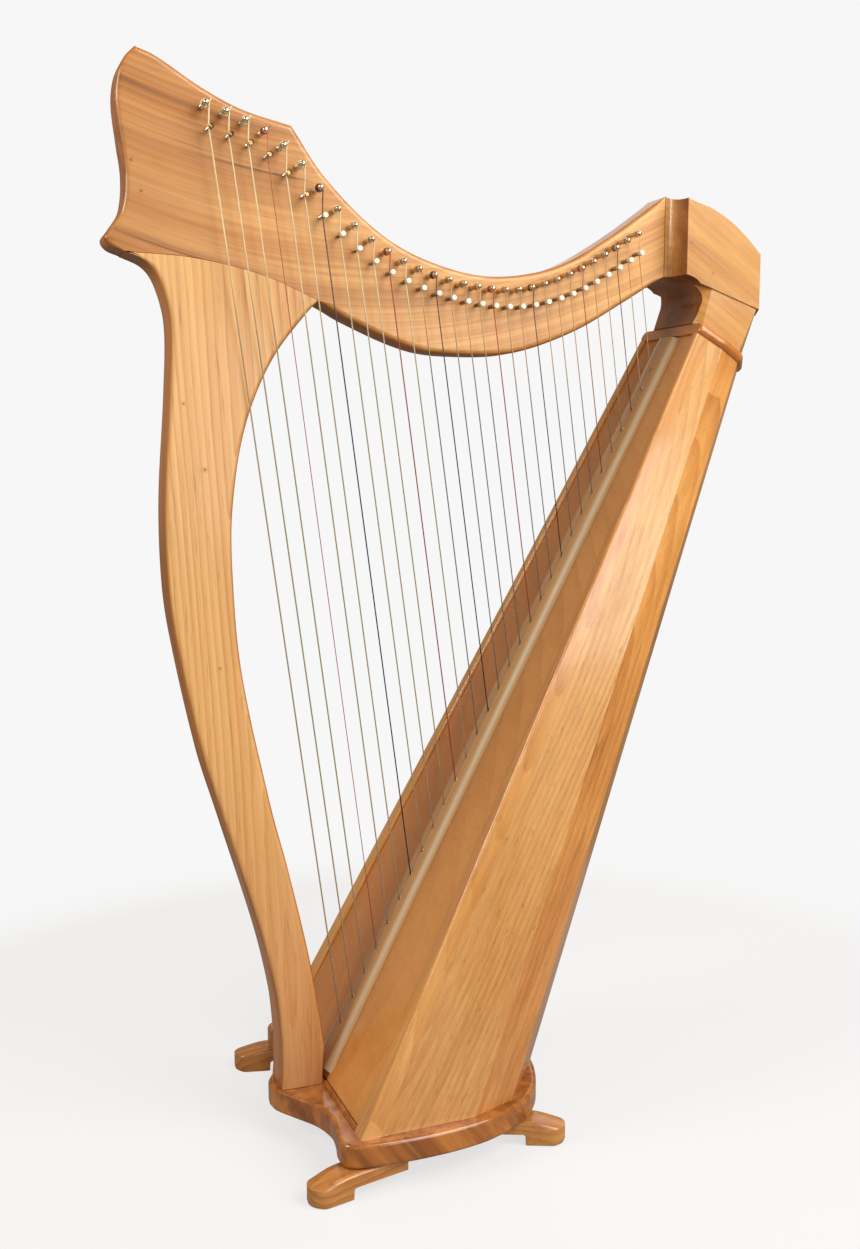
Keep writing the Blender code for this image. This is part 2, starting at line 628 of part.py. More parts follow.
def make_tuning_pins(frame):
    """Each pin turns about y. Its origin is on its axis, midway through the neck."""
    middle = Vector((0, 0, 0))
    near = -NECK_THICKNESS / 2 - TUNING_PIN_REACH
    shaft_end = NECK_THICKNESS / 2 + TUNING_SHAFT_END
    far = NECK_THICKNESS / 2 + TUNING_KEY_REACH
    body = [round_ring(middle + Vector((0, y, 0)), r, 8)
            for y, r in ((near, TUNING_TIP_SHARE * TUNING_PIN_RADIUS),
                         (near + TUNING_TIP_LENGTH, TUNING_PIN_RADIUS),
                         (shaft_end, TUNING_PIN_RADIUS))]
    half = TUNING_SQUARE / 2
    square = [[(x, y, z) for x, z in ((-half, -half), (half, -half), (half, half), (-half, half))]
              for y in (shaft_end - TUNING_SHAFT_LAP, far)]
    mesh = rings_mesh("tuning_pin", [body])
    drive = rings_mesh("tuning_pin_square", [square])
    for i in range(STRINGS):
        pin = piece(f"tuning_pin_{i + 1:02d}", mesh, "nickel", frame, tuning_place(i))
        boolean(pin, tool(f"drive_{i + 1:02d}", drive, pin), "UNION")


def main():
    clear_scene()
    frame = empty("harp_frame", location=(ORIGIN_SHIFT, 0, 0))
    board = empty("board_frame", frame, (0, 0, HOLE_1_HEIGHT), (0, BOARD_LEAN, 0))
    make_neck(frame)
    make_column(frame)
    make_shoulder_block(frame)
    make_base_plate(frame)
    make_feet(frame)
    make_rails(board)
    make_soundboard(board)
    make_rib(board)
    make_trims(board)
    make_staves(board)
    make_inner_blocks(board)
    make_collar(board)
    make_string_set(frame, board)
    make_tuning_pins(frame)
    bpy.context.view_layer.update()


main()
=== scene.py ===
"""Looks of the folk floor harp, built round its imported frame.

All points are in the row frame, in metres. The harp's own drawing has x = 0 at the hole of its
lowest string, so harp() moves a drawn point into the row frame.
"""
import math

import bmesh
import bpy
from mathutils import Matrix, Vector


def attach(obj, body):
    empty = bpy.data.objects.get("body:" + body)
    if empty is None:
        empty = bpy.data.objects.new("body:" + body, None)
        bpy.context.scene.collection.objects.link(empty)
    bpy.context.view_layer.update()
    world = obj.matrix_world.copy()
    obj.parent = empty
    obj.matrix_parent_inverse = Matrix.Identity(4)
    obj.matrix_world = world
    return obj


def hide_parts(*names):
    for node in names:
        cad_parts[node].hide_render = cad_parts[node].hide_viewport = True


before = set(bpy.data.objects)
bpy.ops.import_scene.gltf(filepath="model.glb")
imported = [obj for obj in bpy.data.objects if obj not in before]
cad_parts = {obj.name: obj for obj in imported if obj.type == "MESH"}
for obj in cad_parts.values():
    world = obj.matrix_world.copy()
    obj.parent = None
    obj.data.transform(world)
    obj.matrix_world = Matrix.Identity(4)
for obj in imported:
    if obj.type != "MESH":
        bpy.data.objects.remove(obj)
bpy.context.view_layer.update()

SHIFT = Vector((-0.11683, 0, 0))

# Strings and pins.
STRINGS = 30
BOARD_LEAN = math.radians(27.56)
HOLE_1_HEIGHT = 0.0998
HOLE_SPAN = 0.7251
HOLE_GATHER = 0.084
BRIDGE_1_X = -0.1192
BRIDGE_SPAN = 0.4229
BRIDGE_GATHER = 0.194
BRIDGE_ROW = [(-0.125, 0.9372), (-0.07, 0.9172), (-0.0353, 0.885), (-0.0024, 0.8522),
              (0.0459, 0.8203), (0.0917, 0.8034), (0.1486, 0.7948), (0.1896, 0.7972),
              (0.2413, 0.8145), (0.31, 0.8552)]
TUNING_ROW = [(-0.128, 0.9555), (-0.0736, 0.9362), (-0.0405, 0.911), (-0.0073, 0.8738),
              (0.0415, 0.8384), (0.0872, 0.82), (0.1435, 0.8103), (0.1846, 0.8131),
              (0.2349, 0.8321), (0.306, 0.8735)]
PIN_ROW_LAG = 0.0046
STRING_RADIUS_BASS = 0.00072
STRING_RADIUS_TREBLE = 0.00040
THIN_STRING = 4  # a low string as thin as the treble ones
STRING_STAND_OFF = 0.0140
STRING_BEND = 0.0022
RED_STRINGS = (4, 11, 18, 25)
DARK_STRINGS = (7, 14, 21, 28)
LAST_CREAM_STRING = 12
# (distance behind the board, radius)
KNOT = [(0.004, 0.0006), (0.0045, 0.0019), (0.0062, 0.0024), (0.0080, 0.0017), (0.0086, 0.0005)]
COIL_TURNS = 2.0
COIL_STEPS = 44
COIL_PITCH = 2.05  # in string radii
LAST_FULL_COIL = 10
THIN_COIL = 0.8  # thickness of the coils of the later strings
LAST_LONG_TAIL = 6
LONG_TAIL, SHORT_TAIL = 0.0055, 0.0012
NECK_FACE = 0.0347 / 2
COLUMN_FACE = 0.038 / 2
TUNING_PIN_RADIUS = 0.0025
TUNING_PIN_REACH = 0.0205
TUNING_KEY_REACH = 0.0160
PIN_ROUND_END = 0.0030
KEY_HALF_WIDTH = 0.0017
BRIDGE_PIN_REACH = 0.0180
DARK_LINE_PIN = 5
LAST_BASS_PIN = 7  # bright threaded tuning pins and steel bridge pins up to here
PIN_THREADS, PIN_THREAD_PITCH, PIN_THREAD_START = 14, 0.00055, 0.0075
SHANK_PITCH, SHANK_ROOT, SHANK_CREST = 0.0007, 0.00160, 0.00192
GROOVE_RADIUS = 0.0019
CAP_DEPTH = 0.0064
BRONZE_CAPS = (1, 2)
LAST_METAL_CAP = 6
BRONZE_CAP_RADIUS, BRASS_CAP_RADIUS = 0.0022, 0.0028
# (depth below the top, radius)
PLASTIC_CAP = [(CAP_DEPTH, GROOVE_RADIUS), (0.0060, 0.0023), (0.0050, 0.0023), (0.0044, GROOVE_RADIUS),
               (0.0034, GROOVE_RADIUS), (0.0028, 0.0024), (0.0006, 0.0025), (0.0001, 0.0021),
               (0, 0.0010)]

# Outlines of the neck, the column and the base plate.
NECK_TOP = [(-0.1798, 1.0), (-0.1630, 0.9942), (-0.1230, 0.9714), (-0.0880, 0.9563), (-0.0432, 0.9462)]
NECK_SWEEP = [(-0.0432, 0.9462), (-0.0120, 0.9035), (0.0410, 0.8573), (0.0905, 0.8346),
              (0.1500, 0.8243), (0.2160, 0.8352), (0.2740, 0.8654), (0.3385, 0.9098)]
NECK_BELLY = [(0.3385, 0.8320), (0.2950, 0.8056), (0.2400, 0.7752), (0.1770, 0.7535),
              (0.1240, 0.7495), (0.0738, 0.7537), (0.0090, 0.7779), (-0.0215, 0.7945)]
JOINT_CURVE = [(-0.0215, 0.7945), (-0.0713, 0.8141), (-0.1328, 0.8262), (-0.1935, 0.8287)]
NECK_FRONT = [(-0.1935, 0.8287), (-0.2062, 0.8330), (-0.2103, 0.8400), (-0.2045, 0.8487),
              (-0.1945, 0.8650), (-0.1912, 0.8940), (-0.1947, 0.9252), (-0.1977, 0.9560),
              (-0.1952, 0.9763), (-0.1890, 0.9900), (-0.1798, 1.0)]
COLUMN_FRONT = [(-0.1935, 0.8287), (-0.1743, 0.8196), (-0.1634, 0.8024), (-0.1560, 0.7700),
                (-0.1578, 0.7105), (-0.1645, 0.6150), (-0.1640, 0.5450), (-0.1588, 0.4963),
                (-0.1365, 0.3846), (-0.1168, 0.3166), (-0.0838, 0.2037), (-0.0700, 0.1400),
                (-0.0655, 0.0950)]
COLUMN_BACK = [(-0.0212, 0.0850), (-0.0348, 0.1701), (-0.0560, 0.2664), (-0.0714, 0.3277),
               (-0.0970, 0.4565), (-0.1036, 0.5450), (-0.1026, 0.6079), (-0.0896, 0.6808),
               (-0.0628, 0.7423), (-0.0215, 0.7945)]
COLUMN_FOOT = [(-0.0655, 0.0473), (-0.0250, 0.0473)]
PLATE_NOSE = [(-0.0735, 0.0), (-0.0710, -0.0130), (-0.0595, -0.0320), (-0.0430, -0.0590),
              (-0.0365, -0.0850), (-0.0385, -0.1060), (-0.0420, -0.1230), (-0.0400, -0.1370),
              (-0.0300, -0.1445), (0.0150, -0.1490), (0.0600, -0.1478), (0.0950, -0.1420),
              (0.1180, -0.1340)]
PLATE_TAIL = [(0.1180, -0.1340), (0.1450, -0.1190), (0.1660, -0.0965), (0.1800, -0.0700),
              (0.1900, -0.0380), (0.1935, 0.0)]
PLATE_LOW, PLATE_HIGH = 0.0238, 0.0470
PLATE_EDGE = 0.0042
WOOD_EDGE, JOINT_EDGE = 0.0055, 0.0006
JOINT_GAP = 0.0003

# Soundbox and feet. s is the distance up the board from the lowest string's hole.
COLLAR_HALF_WIDTH = 0.0550
COLLAR_CORNERS = [(0.0350, 1.0), (0.0605, 0.874), (0.0786, 0.42)]  # depth, share of the half width
RAIL_FRONT = 0.002
BOARD_FRONT = 0.0050
BOARD_THICKNESS = 0.0035
LINER = (0.0088, 0.0128, 0.009)  # front, back, half width
LINER_LOW_S, LINER_HIGH_S = -0.020, 0.7311
COLLAR_BEAD = (0.7623, 0.7735, 0.0035)  # bottom, top, how far it stands out
COLLAR_CORNER = 0.004
RIB_FOOT, RIB_FLAT = 0.0225, 0.0088
RIB_BACK = BOARD_FRONT - 0.0003
RIB_LOW_S, RIB_HIGH_S, RIB_STEP = -0.046, 0.7610, 0.08
SWELL = 0.00025  # closes the fine gaps between glued pieces
RAIL_EDGE = 0.0024
LONG_EDGE = 0.2
# The left feet: x and y of the tip, and the direction in degrees.
FEET = {"foot_front": (-0.0755, 0.1448, 167.0), "foot_rear": (0.1870, 0.1216, 24.0)}
FOOT_TOP = 0.0235
FOOT_HALF = 0.0145
FOOT_LENGTH = 0.095
FOOT_EDGE = 0.003
FOOT_NOSE = 0.034
PAD_LENGTH = 0.038
BAR_BOTTOM = 0.0112
TIP_DROP = 0.0065
TIP_LENGTH = 0.045

WELD = 1e-6

BOARD_TO_HARP = Matrix.Translation((0, 0, HOLE_1_HEIGHT)) @ Matrix.Rotation(BOARD_LEAN, 4, "Y")


def harp(x, y, z):
    """A point of the harp's drawing."""
    return Vector((x, y, z)) + SHIFT


def board(depth, y, s):
    """A point this deep behind the string holes and this far up the board."""
    return BOARD_TO_HARP @ Vector((depth, y, s)) + SHIFT


# ---------------------------------------------------------------- materials

class Shader:
    """A Principled material whose inputs are wired from procedural nodes."""

    def __init__(self, name):
        self.material = bpy.data.materials.new("look_" + name)
        self.material.use_nodes = True
        self.tree = self.material.node_tree
        self.out = self.tree.nodes["Principled BSDF"]
        self.coords = self.add("ShaderNodeTexCoord").outputs["Object"]

    def add(self, kind, values=None, **settings):
        made = self.tree.nodes.new(kind)
        for key, value in settings.items():
            setattr(made, key, value)
        for key, value in (values or {}).items():
            if isinstance(value, bpy.types.NodeSocket):
                self.tree.links.new(value, made.inputs[key])
            else:
                made.inputs[key].default_value = value
        return made

    def set(self, name, value):
        if isinstance(value, bpy.types.NodeSocket):
            self.tree.links.new(value, self.out.inputs[name])
        else:
            self.out.inputs[name].default_value = value

    def mapped(self, source, scale=(1, 1, 1), rotation=(0, 0, 0), shift=(0, 0, 0)):
        node = self.add("ShaderNodeMapping", {"Vector": source, "Scale": scale,
                                              "Rotation": rotation, "Location": shift})
        return node.outputs["Vector"]

    def noise(self, source, scale, detail=2.0, roughness=0.5, distortion=0.0):
        node = self.add("ShaderNodeTexNoise", {"Vector": source, "Scale": scale, "Detail": detail,
                                               "Roughness": roughness, "Distortion": distortion})
        return node.outputs["Fac"]

    def range(self, value, low, high, to_low=0.0, to_high=1.0, smooth=True):
        node = self.add("ShaderNodeMapRange", {0: value, 1: low, 2: high, 3: to_low, 4: to_high},
                        interpolation_type="SMOOTHSTEP" if smooth else "LINEAR")
        return node.outputs[0]

    def maths(self, operation, a, b=0.0, clamp=False):
        node = self.add("ShaderNodeMath", {0: a, 1: b}, operation=operation, use_clamp=clamp)
        return node.outputs[0]

    def ramp(self, value, stops):
        node = self.add("ShaderNodeValToRGB", {"Fac": value})
        band = node.color_ramp
        while len(band.elements) < len(stops):
            band.elements.new(0.5)
        for element, (place, colour) in zip(band.elements, stops):
            element.position = place
            element.color = (*colour, 1.0)
        return node.outputs["Color"]

    def mix(self, share, a, b, blend="MIX"):
        node = self.add("ShaderNodeMix", data_type="RGBA", blend_type=blend)
        for key, value in ((0, share), (6, a), (7, b)):
            if isinstance(value, bpy.types.NodeSocket):
                self.tree.links.new(value, node.inputs[key])
            elif key == 0:
                node.inputs[key].default_value = value
            else:
                node.inputs[key].default_value = (*value, 1.0)
        return node.outputs[2]

    def bump(self, height, strength, distance):
        node = self.add("ShaderNodeBump", {"Height": height, "Strength": strength,
                                           "Distance": distance})
        self.set("Normal", node.outputs["Normal"])


def curved_grain(net, bend):
    """x, the height above a curve that rises with x, and coordinates with that height as z."""
    parts = net.add("ShaderNodeSeparateXYZ", {"Vector": net.coords})
    x = parts.outputs["X"]
    rise = net.maths("MULTIPLY", x, net.maths("ADD", net.maths("MULTIPLY", x, bend[0]), bend[1]))
    level = net.maths("SUBTRACT", parts.outputs["Z"], rise)
    source = net.add("ShaderNodeCombineXYZ", {0: x, 1: parts.outputs["Y"], 2: level}).outputs[0]
    return x, level, source


def growth_rings(net, grain, pith, rings):
    """Rings round the pith, wavering along the grain."""
    slow = net.mapped(grain, scale=(1, 1, 0.22))
    wobble = net.add("ShaderNodeTexNoise", {"Vector": slow, "Scale": 6.0, "Detail": 2.0})
    moved = net.add("ShaderNodeVectorMath", {0: wobble.outputs["Color"], 1: (0.5, 0.5, 0.5)},
                    operation="SUBTRACT")
    moved = net.add("ShaderNodeVectorMath", {0: moved.outputs[0], "Scale": 0.035},
                    operation="SCALE")
    bent = net.add("ShaderNodeVectorMath", {0: grain, 1: moved.outputs[0]}, operation="ADD")
    bent = net.mapped(bent.outputs[0], scale=(1, 1, 0.09), shift=pith)
    wave = net.add("ShaderNodeTexWave", {"Vector": bent, "Scale": rings / 2.0, "Distortion": 1.3,
                                         "Detail": 3.0, "Detail Scale": 1.6,
                                         "Detail Roughness": 0.55},
                   wave_type="RINGS", rings_direction="Z", wave_profile="SAW")
    return net.maths("POWER", wave.outputs["Fac"], 1.8)


def with_streaks(net, colour, grain, streaks):
    """Dark streaks along the grain, each within reach of its centre."""
    for number, (tint, amount, centre, reach) in enumerate(streaks):
        away = net.add("ShaderNodeVectorMath", {0: net.coords, 1: centre}, operation="DISTANCE")
        near = net.range(away.outputs["Value"], reach, reach * 0.25)
        line = net.noise(net.mapped(grain, scale=(120, 120, 2.4), shift=(number, 0, 0)), 1.0, 4.0,
                         0.55, 0.4)
        wide = net.noise(net.mapped(grain, scale=(30, 30, 1.3), shift=(number, 0, 0)), 1.0, 2.0,
                         0.5, 0.3)
        share = net.maths("MULTIPLY", net.range(line, 0.44, 0.60), net.range(wide, 0.44, 0.62))
        share = net.maths("MULTIPLY", net.maths("MULTIPLY", share, near), amount, True)
        colour = net.mix(share, colour, tint)
    return colour


def with_knots(net, colour, patch, dark, knots):
    """A dark core and a soft halo at each knot."""
    for place, radius in knots:
        away = net.add("ShaderNodeVectorMath", {0: net.coords, 1: place}, operation="DISTANCE")
        rough_edge = net.maths("MULTIPLY", patch, radius * 0.8)
        gap = net.maths("ADD", away.outputs["Value"], rough_edge)
        halo = net.range(gap, radius * 3.6, radius * 1.2, 0.0, 0.40)
        core = net.range(gap, radius * 1.5, radius * 0.9, 0.0, 0.75)
        colour = net.mix(halo, colour, dark)
        colour = net.mix(core, colour, tuple(c * 0.45 for c in dark))
    return colour


def with_painted_shade(net, colour, start, end, least):
    """Painted shade: darker and redder at the start, clear at the end."""
    way = (end - start) / (end - start).length_squared
    along = net.add("ShaderNodeVectorMath", {0: net.coords, 1: tuple(way)},
                    operation="DOT_PRODUCT").outputs["Value"]
    begin = start.dot(way)
    level_red = net.range(along, begin, begin + 1.0, least, 1.0)
    level_rest = net.maths("POWER", level_red, 1.6)
    painted_veil = net.add("ShaderNodeCombineColor", {0: level_red, 1: level_rest, 2: level_rest})
    return net.mix(1.0, colour, painted_veil.outputs[0], "MULTIPLY")


def with_dark_line(net, colour, patch, x, level, bend):
    """A thin dark line along the grain, at the height of one bridge pin."""
    mark = bridge_place(DARK_LINE_PIN - 1) + SHIFT
    wanted = mark.z - mark.x * (mark.x * bend[0] + bend[1])
    away = net.maths("ABSOLUTE", net.maths("SUBTRACT", level, wanted))
    away = net.maths("ADD", away, net.range(patch, 0.35, 0.65, 0.0, 0.0008, False))
    near = net.maths("MULTIPLY", net.range(x, mark.x - 0.11, mark.x - 0.03),
                     net.range(x, mark.x + 0.03, mark.x + 0.005))
    share = net.maths("MULTIPLY", net.range(away, 0.0022, 0.0009), near)
    return net.mix(net.maths("MULTIPLY", share, 0.75), colour, (0.16, 0.055, 0.014))


def with_painted_edge_light(net, colour, stripe, tint, amount, first, last):
    """Painted shade with a dark tint and a painted highlight with a pale one: a tint that comes in as
    the normal's share to the left or right goes from first to last.
    """
    normal = net.add("ShaderNodeNewGeometry").outputs["Normal"]
    parts = net.add("ShaderNodeSeparateXYZ", {"Vector": normal})
    turned = net.maths("ABSOLUTE", parts.outputs["Y"])
    share = net.range(turned, first, last, 0.0, amount)
    grainy = net.mix(net.range(stripe, 0.3, 0.7), tint, tuple(c * 0.6 for c in tint))
    return net.mix(share, colour, grainy)


def wood(name, light, mid, dark, along, pith=(0.11, 0.07, 0.0), rings=100.0, contrast=0.5,
         fibres=0.5, flecks=0.3, streaks=(), knots=(), edge=None, bend=None, blotch=0.2,
         stripes=0.22, roughness=0.25, coat=0.35, painted_shade=None):
    """Lacquered wood. along turns the row frame so that z runs with the grain.

    bend curves the grain of the neck, which also has the dark line.
    """
    net = Shader(name)
    source = net.coords
    if bend:
        x, level, source = curved_grain(net, bend)
    grain = net.mapped(source, rotation=along)
    ring = growth_rings(net, grain, pith, rings)
    fibre = net.noise(net.mapped(grain, scale=(330, 330, 7)), 1.0, 3.0, 0.62)
    pore = net.noise(net.mapped(grain, scale=(760, 760, 30)), 1.0, 2.0, 0.5)
    patch = net.noise(net.mapped(grain, scale=(1, 1, 0.35)), 11.0, 3.0, 0.5)
    stripe = net.noise(net.mapped(grain, scale=(70, 70, 0.8)), 1.0, 2.0, 0.5)
    strength = net.range(net.noise(net.mapped(grain, scale=(9, 9, 1.6)), 1.0, 1.0, 0.5), 0.3, 0.7,
                         0.35 * contrast, contrast)
    tone = net.maths("MULTIPLY", ring, strength)
    tone = net.maths("ADD", tone, net.maths("MULTIPLY", net.range(patch, 0.3, 0.7), blotch))
    tone = net.maths("ADD", tone, net.maths("MULTIPLY", net.range(stripe, 0.32, 0.68), stripes))
    colour = net.ramp(tone, [(0.04, light), (0.40, mid), (0.90, dark)])
    shade = net.range(fibre, 0.30, 0.72, 1.0, 1.0 - 0.34 * fibres)
    shade_colour = net.add("ShaderNodeCombineColor", {0: shade, 1: shade, 2: shade}).outputs[0]
    colour = net.mix(1.0, colour, shade_colour, "MULTIPLY")
    fleck = net.range(pore, 0.61, 0.74, 0.0, flecks)
    colour = net.mix(fleck, colour, tuple(c * 0.38 for c in dark))
    colour = with_streaks(net, colour, grain, streaks)
    colour = with_knots(net, colour, patch, dark, knots)
    # painted shade: darker and redder towards one end of the piece
    if painted_shade:
        colour = with_painted_shade(net, colour, *painted_shade)
    if bend:
        colour = with_dark_line(net, colour, patch, x, level, bend)
    # painted shade from a dark tint, a painted highlight from a pale one, by the way each face turns
    if edge:
        colour = with_painted_edge_light(net, colour, stripe, *edge)
    net.set("Base Color", colour)
    rough = net.range(fibre, 0.25, 0.8, roughness - 0.05, roughness + 0.08)
    scuff = net.noise(net.coords, 38.0, 4.0, 0.6)
    rough = net.maths("ADD", rough, net.range(scuff, 0.55, 0.8, 0.0, 0.10))
    net.set("Roughness", rough)
    net.set("Coat Weight", coat)
    net.set("Coat Roughness", net.range(scuff, 0.3, 0.8, 0.06, 0.17))
    net.set("Coat IOR", 1.48)
    height = net.maths("ADD", net.maths("MULTIPLY", fibre, 0.6), net.maths("MULTIPLY", pore, 0.4))
    net.bump(height, 0.10, 0.0004)
    return net.material


def metal(name, colour, roughness, tarnish=(0.30, 0.26, 0.20), amount=0.35):
    """Bare metal with small dull spots."""
    net = Shader(name)
    spots = net.noise(net.coords, 420.0, 4.0, 0.6)
    fine = net.noise(net.mapped(net.coords, scale=(1, 0.15, 1)), 2600.0, 2.0, 0.5)
    share = net.range(spots, 0.48, 0.74, 0.0, amount)
    net.set("Base Color", net.mix(share, colour, tarnish))
    net.set("Metallic", 1.0)
    net.set("Roughness", net.maths("ADD", net.range(fine, 0.2, 0.8, roughness, roughness + 0.14),
                                   net.maths("MULTIPLY", share, 0.3)))
    net.bump(fine, 0.12, 0.0001)
    return net.material


def plastic(name, colour, dark, roughness, low=None):
    """Smooth plastic. low is its colour further down, away from the neck."""
    net = Shader(name)
    wide = net.noise(net.coords, 60.0, 3.0, 0.5)
    fine = net.noise(net.coords, 1800.0, 2.0, 0.5)
    tone = net.mix(net.range(wide, 0.35, 0.7), colour, dark)
    if low:
        parts = net.add("ShaderNodeSeparateXYZ", {"Vector": net.coords})
        side = net.maths("ADD", parts.outputs["Z"], net.maths("MULTIPLY", parts.outputs["X"], 0.25))
        tone = net.mix(net.range(side, 0.80, 0.70), tone, low)
    net.set("Base Color", tone)
    net.set("Roughness", net.range(fine, 0.25, 0.8, roughness - 0.06, roughness + 0.12))
    net.bump(fine, 0.10, 0.0001)
    return net.material


ALONG_X = (0.0, math.radians(90), 0.0)
ALONG_BOARD = (0.0, -BOARD_LEAN, 0.0)
ACROSS_BOARD = (math.radians(90), -BOARD_LEAN, 0.0)


def make_materials():
    """The look_ materials: each wood's light, middle and dark colour come first."""
    # painted shade: a dark orange tint on the rounded edges and narrow faces, and darker and redder
    # towards the foot
    wood("column_wood", (0.88, 0.52, 0.21), (0.76, 0.39, 0.130), (0.50, 0.20, 0.050),
         (0.0, math.radians(3), 0.0), pith=(0.17, 0.05, 0), rings=112, contrast=0.50, fibres=0.4,
         flecks=0.3, blotch=0.12, stripes=0.12,
         knots=[(harp(-0.128, -0.019, 0.642), 0.0015), (harp(-0.146, -0.019, 0.70), 0.0010),
                (harp(-0.118, -0.019, 0.462), 0.0010)],
         edge=((0.50, 0.165, 0.032), 0.9, 0.95, 0.5), roughness=0.32, coat=0.18,
         painted_shade=(harp(-0.05, 0, 0.03), harp(-0.12, 0, 0.45), 0.78))
    # painted shade: a dark orange tint on the rounded edges and narrow faces, and darker and redder
    # towards the column end
    wood("neck_wood", (0.86, 0.48, 0.165), (0.70, 0.335, 0.095), (0.42, 0.145, 0.030),
         ALONG_X, pith=(0.23, 0.04, 0), rings=90, contrast=0.26, fibres=0.45, flecks=0.25,
         blotch=0.24, stripes=0.30, bend=(0.8, 0.157),
         streaks=[((0.22, 0.095, 0.025), 1.0, harp(-0.14, 0.0, 0.985), 0.17),
                  ((0.30, 0.11, 0.026), 1.0, harp(-0.15, 0.0, 0.845), 0.14),
                  ((0.36, 0.14, 0.034), 0.7, harp(-0.03, 0.0, 0.87), 0.15)],
         knots=[(harp(-0.186, -0.017, 0.905), 0.0009), (harp(-0.178, -0.017, 0.880), 0.0009)],
         edge=((0.50, 0.165, 0.034), 0.9, 0.95, 0.5), roughness=0.32, coat=0.15,
         painted_shade=(harp(-0.20, 0, 0.90), harp(0.06, 0, 0.85), 0.80))
    # painted shade: a dark tint on the faces that turn away from the sides
    wood("block_wood", (0.78, 0.425, 0.140), (0.63, 0.305, 0.082), (0.40, 0.145, 0.032),
         (0.0, math.radians(58), math.radians(12)), pith=(0.06, 0.09, 0), rings=74, contrast=0.40,
         fibres=0.4, flecks=0.3, blotch=0.34, stripes=0.2,
         streaks=[((0.34, 0.12, 0.03), 0.6, harp(0.36, -0.045, 0.845), 0.045)],
         knots=[(harp(0.3435, -0.032, 0.878), 0.0013), (harp(0.3445, -0.030, 0.893), 0.0016),
                (harp(0.352, -0.0455, 0.862), 0.0010), (harp(0.377, -0.0455, 0.834), 0.0012)],
         edge=((0.30, 0.085, 0.022), 0.85, 0.42, 0.05))
    # painted shade: darker and redder on the far half of the board
    wood("board_wood", (0.78, 0.36, 0.105), (0.66, 0.28, 0.072), (0.50, 0.19, 0.044),
         ACROSS_BOARD, pith=(0.6, 0.4, 0), rings=30, contrast=0.22,
         fibres=0.25, flecks=0.12, blotch=0.20, stripes=0.10, roughness=0.20, coat=0.5,
         painted_shade=(board(0, 0.030, 0.3), board(0, -0.006, 0.3), 0.80))
    # painted highlight: a pale cream tint on the sloping shoulders
    wood("rib_wood", (0.88, 0.52, 0.24), (0.78, 0.42, 0.17), (0.56, 0.27, 0.09), ALONG_BOARD,
         pith=(0.2, 0.1, 0), rings=90, contrast=0.25, fibres=0.3, coat=0.6,
         edge=((1.0, 0.88, 0.64), 1.0, 0.33, 0.50))
    wood("rail_wood", (0.80, 0.415, 0.135), (0.64, 0.285, 0.080), (0.40, 0.135, 0.032), ALONG_BOARD,
         pith=(0.13, 0.06, 0), rings=100, contrast=0.35, fibres=0.4, roughness=0.20, coat=0.6)
    # painted shade: darker and redder towards the bottom
    wood("side_wood", (0.82, 0.46, 0.165), (0.70, 0.35, 0.105), (0.46, 0.19, 0.048), ALONG_BOARD,
         pith=(0.14, 0.10, 0), rings=110, contrast=0.50, fibres=0.5, flecks=0.45, blotch=0.14,
         painted_shade=(harp(0.10, 0, 0.05), harp(0.25, 0, 0.55), 0.88))
    # painted shade: darker and redder towards the bottom
    wood("rear_wood", (0.84, 0.42, 0.125), (0.68, 0.29, 0.072), (0.44, 0.15, 0.032), ALONG_BOARD,
         pith=(0.09, 0.12, 0), rings=80, contrast=0.45, fibres=0.45, flecks=0.3, blotch=0.2,
         streaks=[((0.34, 0.12, 0.03), 0.6, board(0.14, -0.08, 0.30), 0.6)],
         painted_shade=(harp(0.14, 0, 0.05), harp(0.30, 0, 0.60), 0.84))
    wood("collar_wood", (0.66, 0.27, 0.06), (0.54, 0.18, 0.036), (0.36, 0.095, 0.02),
         ACROSS_BOARD, rings=90, contrast=0.3, roughness=0.18, coat=0.8)
    wood("base_wood", (0.58, 0.22, 0.042), (0.42, 0.135, 0.024), (0.19, 0.05, 0.011),
         (0.0, math.radians(38), math.radians(30)), pith=(0.16, 0.05, 0), rings=52, contrast=0.16,
         fibres=0.5, flecks=0.3, stripes=0.42, blotch=0.16,
         streaks=[((0.11, 0.035, 0.010), 0.6, harp(0.06, -0.10, 0.035), 0.30)],
         roughness=0.22, coat=0.6)
    wood("foot_wood", (0.66, 0.31, 0.088), (0.50, 0.20, 0.050), (0.31, 0.10, 0.024),
         ALONG_X, pith=(0.12, 0.06, 0), rings=96, contrast=0.45, fibres=0.45)
    wood("inner_wood", (0.72, 0.50, 0.27), (0.60, 0.38, 0.18), (0.42, 0.24, 0.10), ALONG_BOARD,
         rings=50, contrast=0.5, fibres=0.6, roughness=0.55, coat=0.0)
    metal("nickel", (0.78, 0.75, 0.66), 0.13)
    metal("pewter", (0.66, 0.54, 0.42), 0.17, (0.42, 0.30, 0.20), amount=0.7)
    metal("steel", (0.66, 0.60, 0.55), 0.22, amount=0.5)
    metal("brass", (0.62, 0.43, 0.20), 0.22, (0.30, 0.18, 0.07))
    metal("bronze", (0.40, 0.24, 0.12), 0.28, (0.22, 0.12, 0.06))
    plastic("cap_white", (0.97, 0.94, 0.84), (0.90, 0.84, 0.70), 0.25)
    plastic("string_cream", (0.82, 0.70, 0.42), (0.70, 0.57, 0.32), 0.26, (0.34, 0.27, 0.17))
    plastic("string_clear", (0.66, 0.44, 0.22), (0.56, 0.34, 0.16), 0.22, (0.16, 0.145, 0.135))
    plastic("string_red", (0.52, 0.13, 0.055), (0.44, 0.075, 0.03), 0.26, (0.30, 0.045, 0.03))
    plastic("string_dark", (0.20, 0.090, 0.060), (0.14, 0.06, 0.045), 0.24, (0.016, 0.016, 0.035))


# ---------------------------------------------------------------- geometry

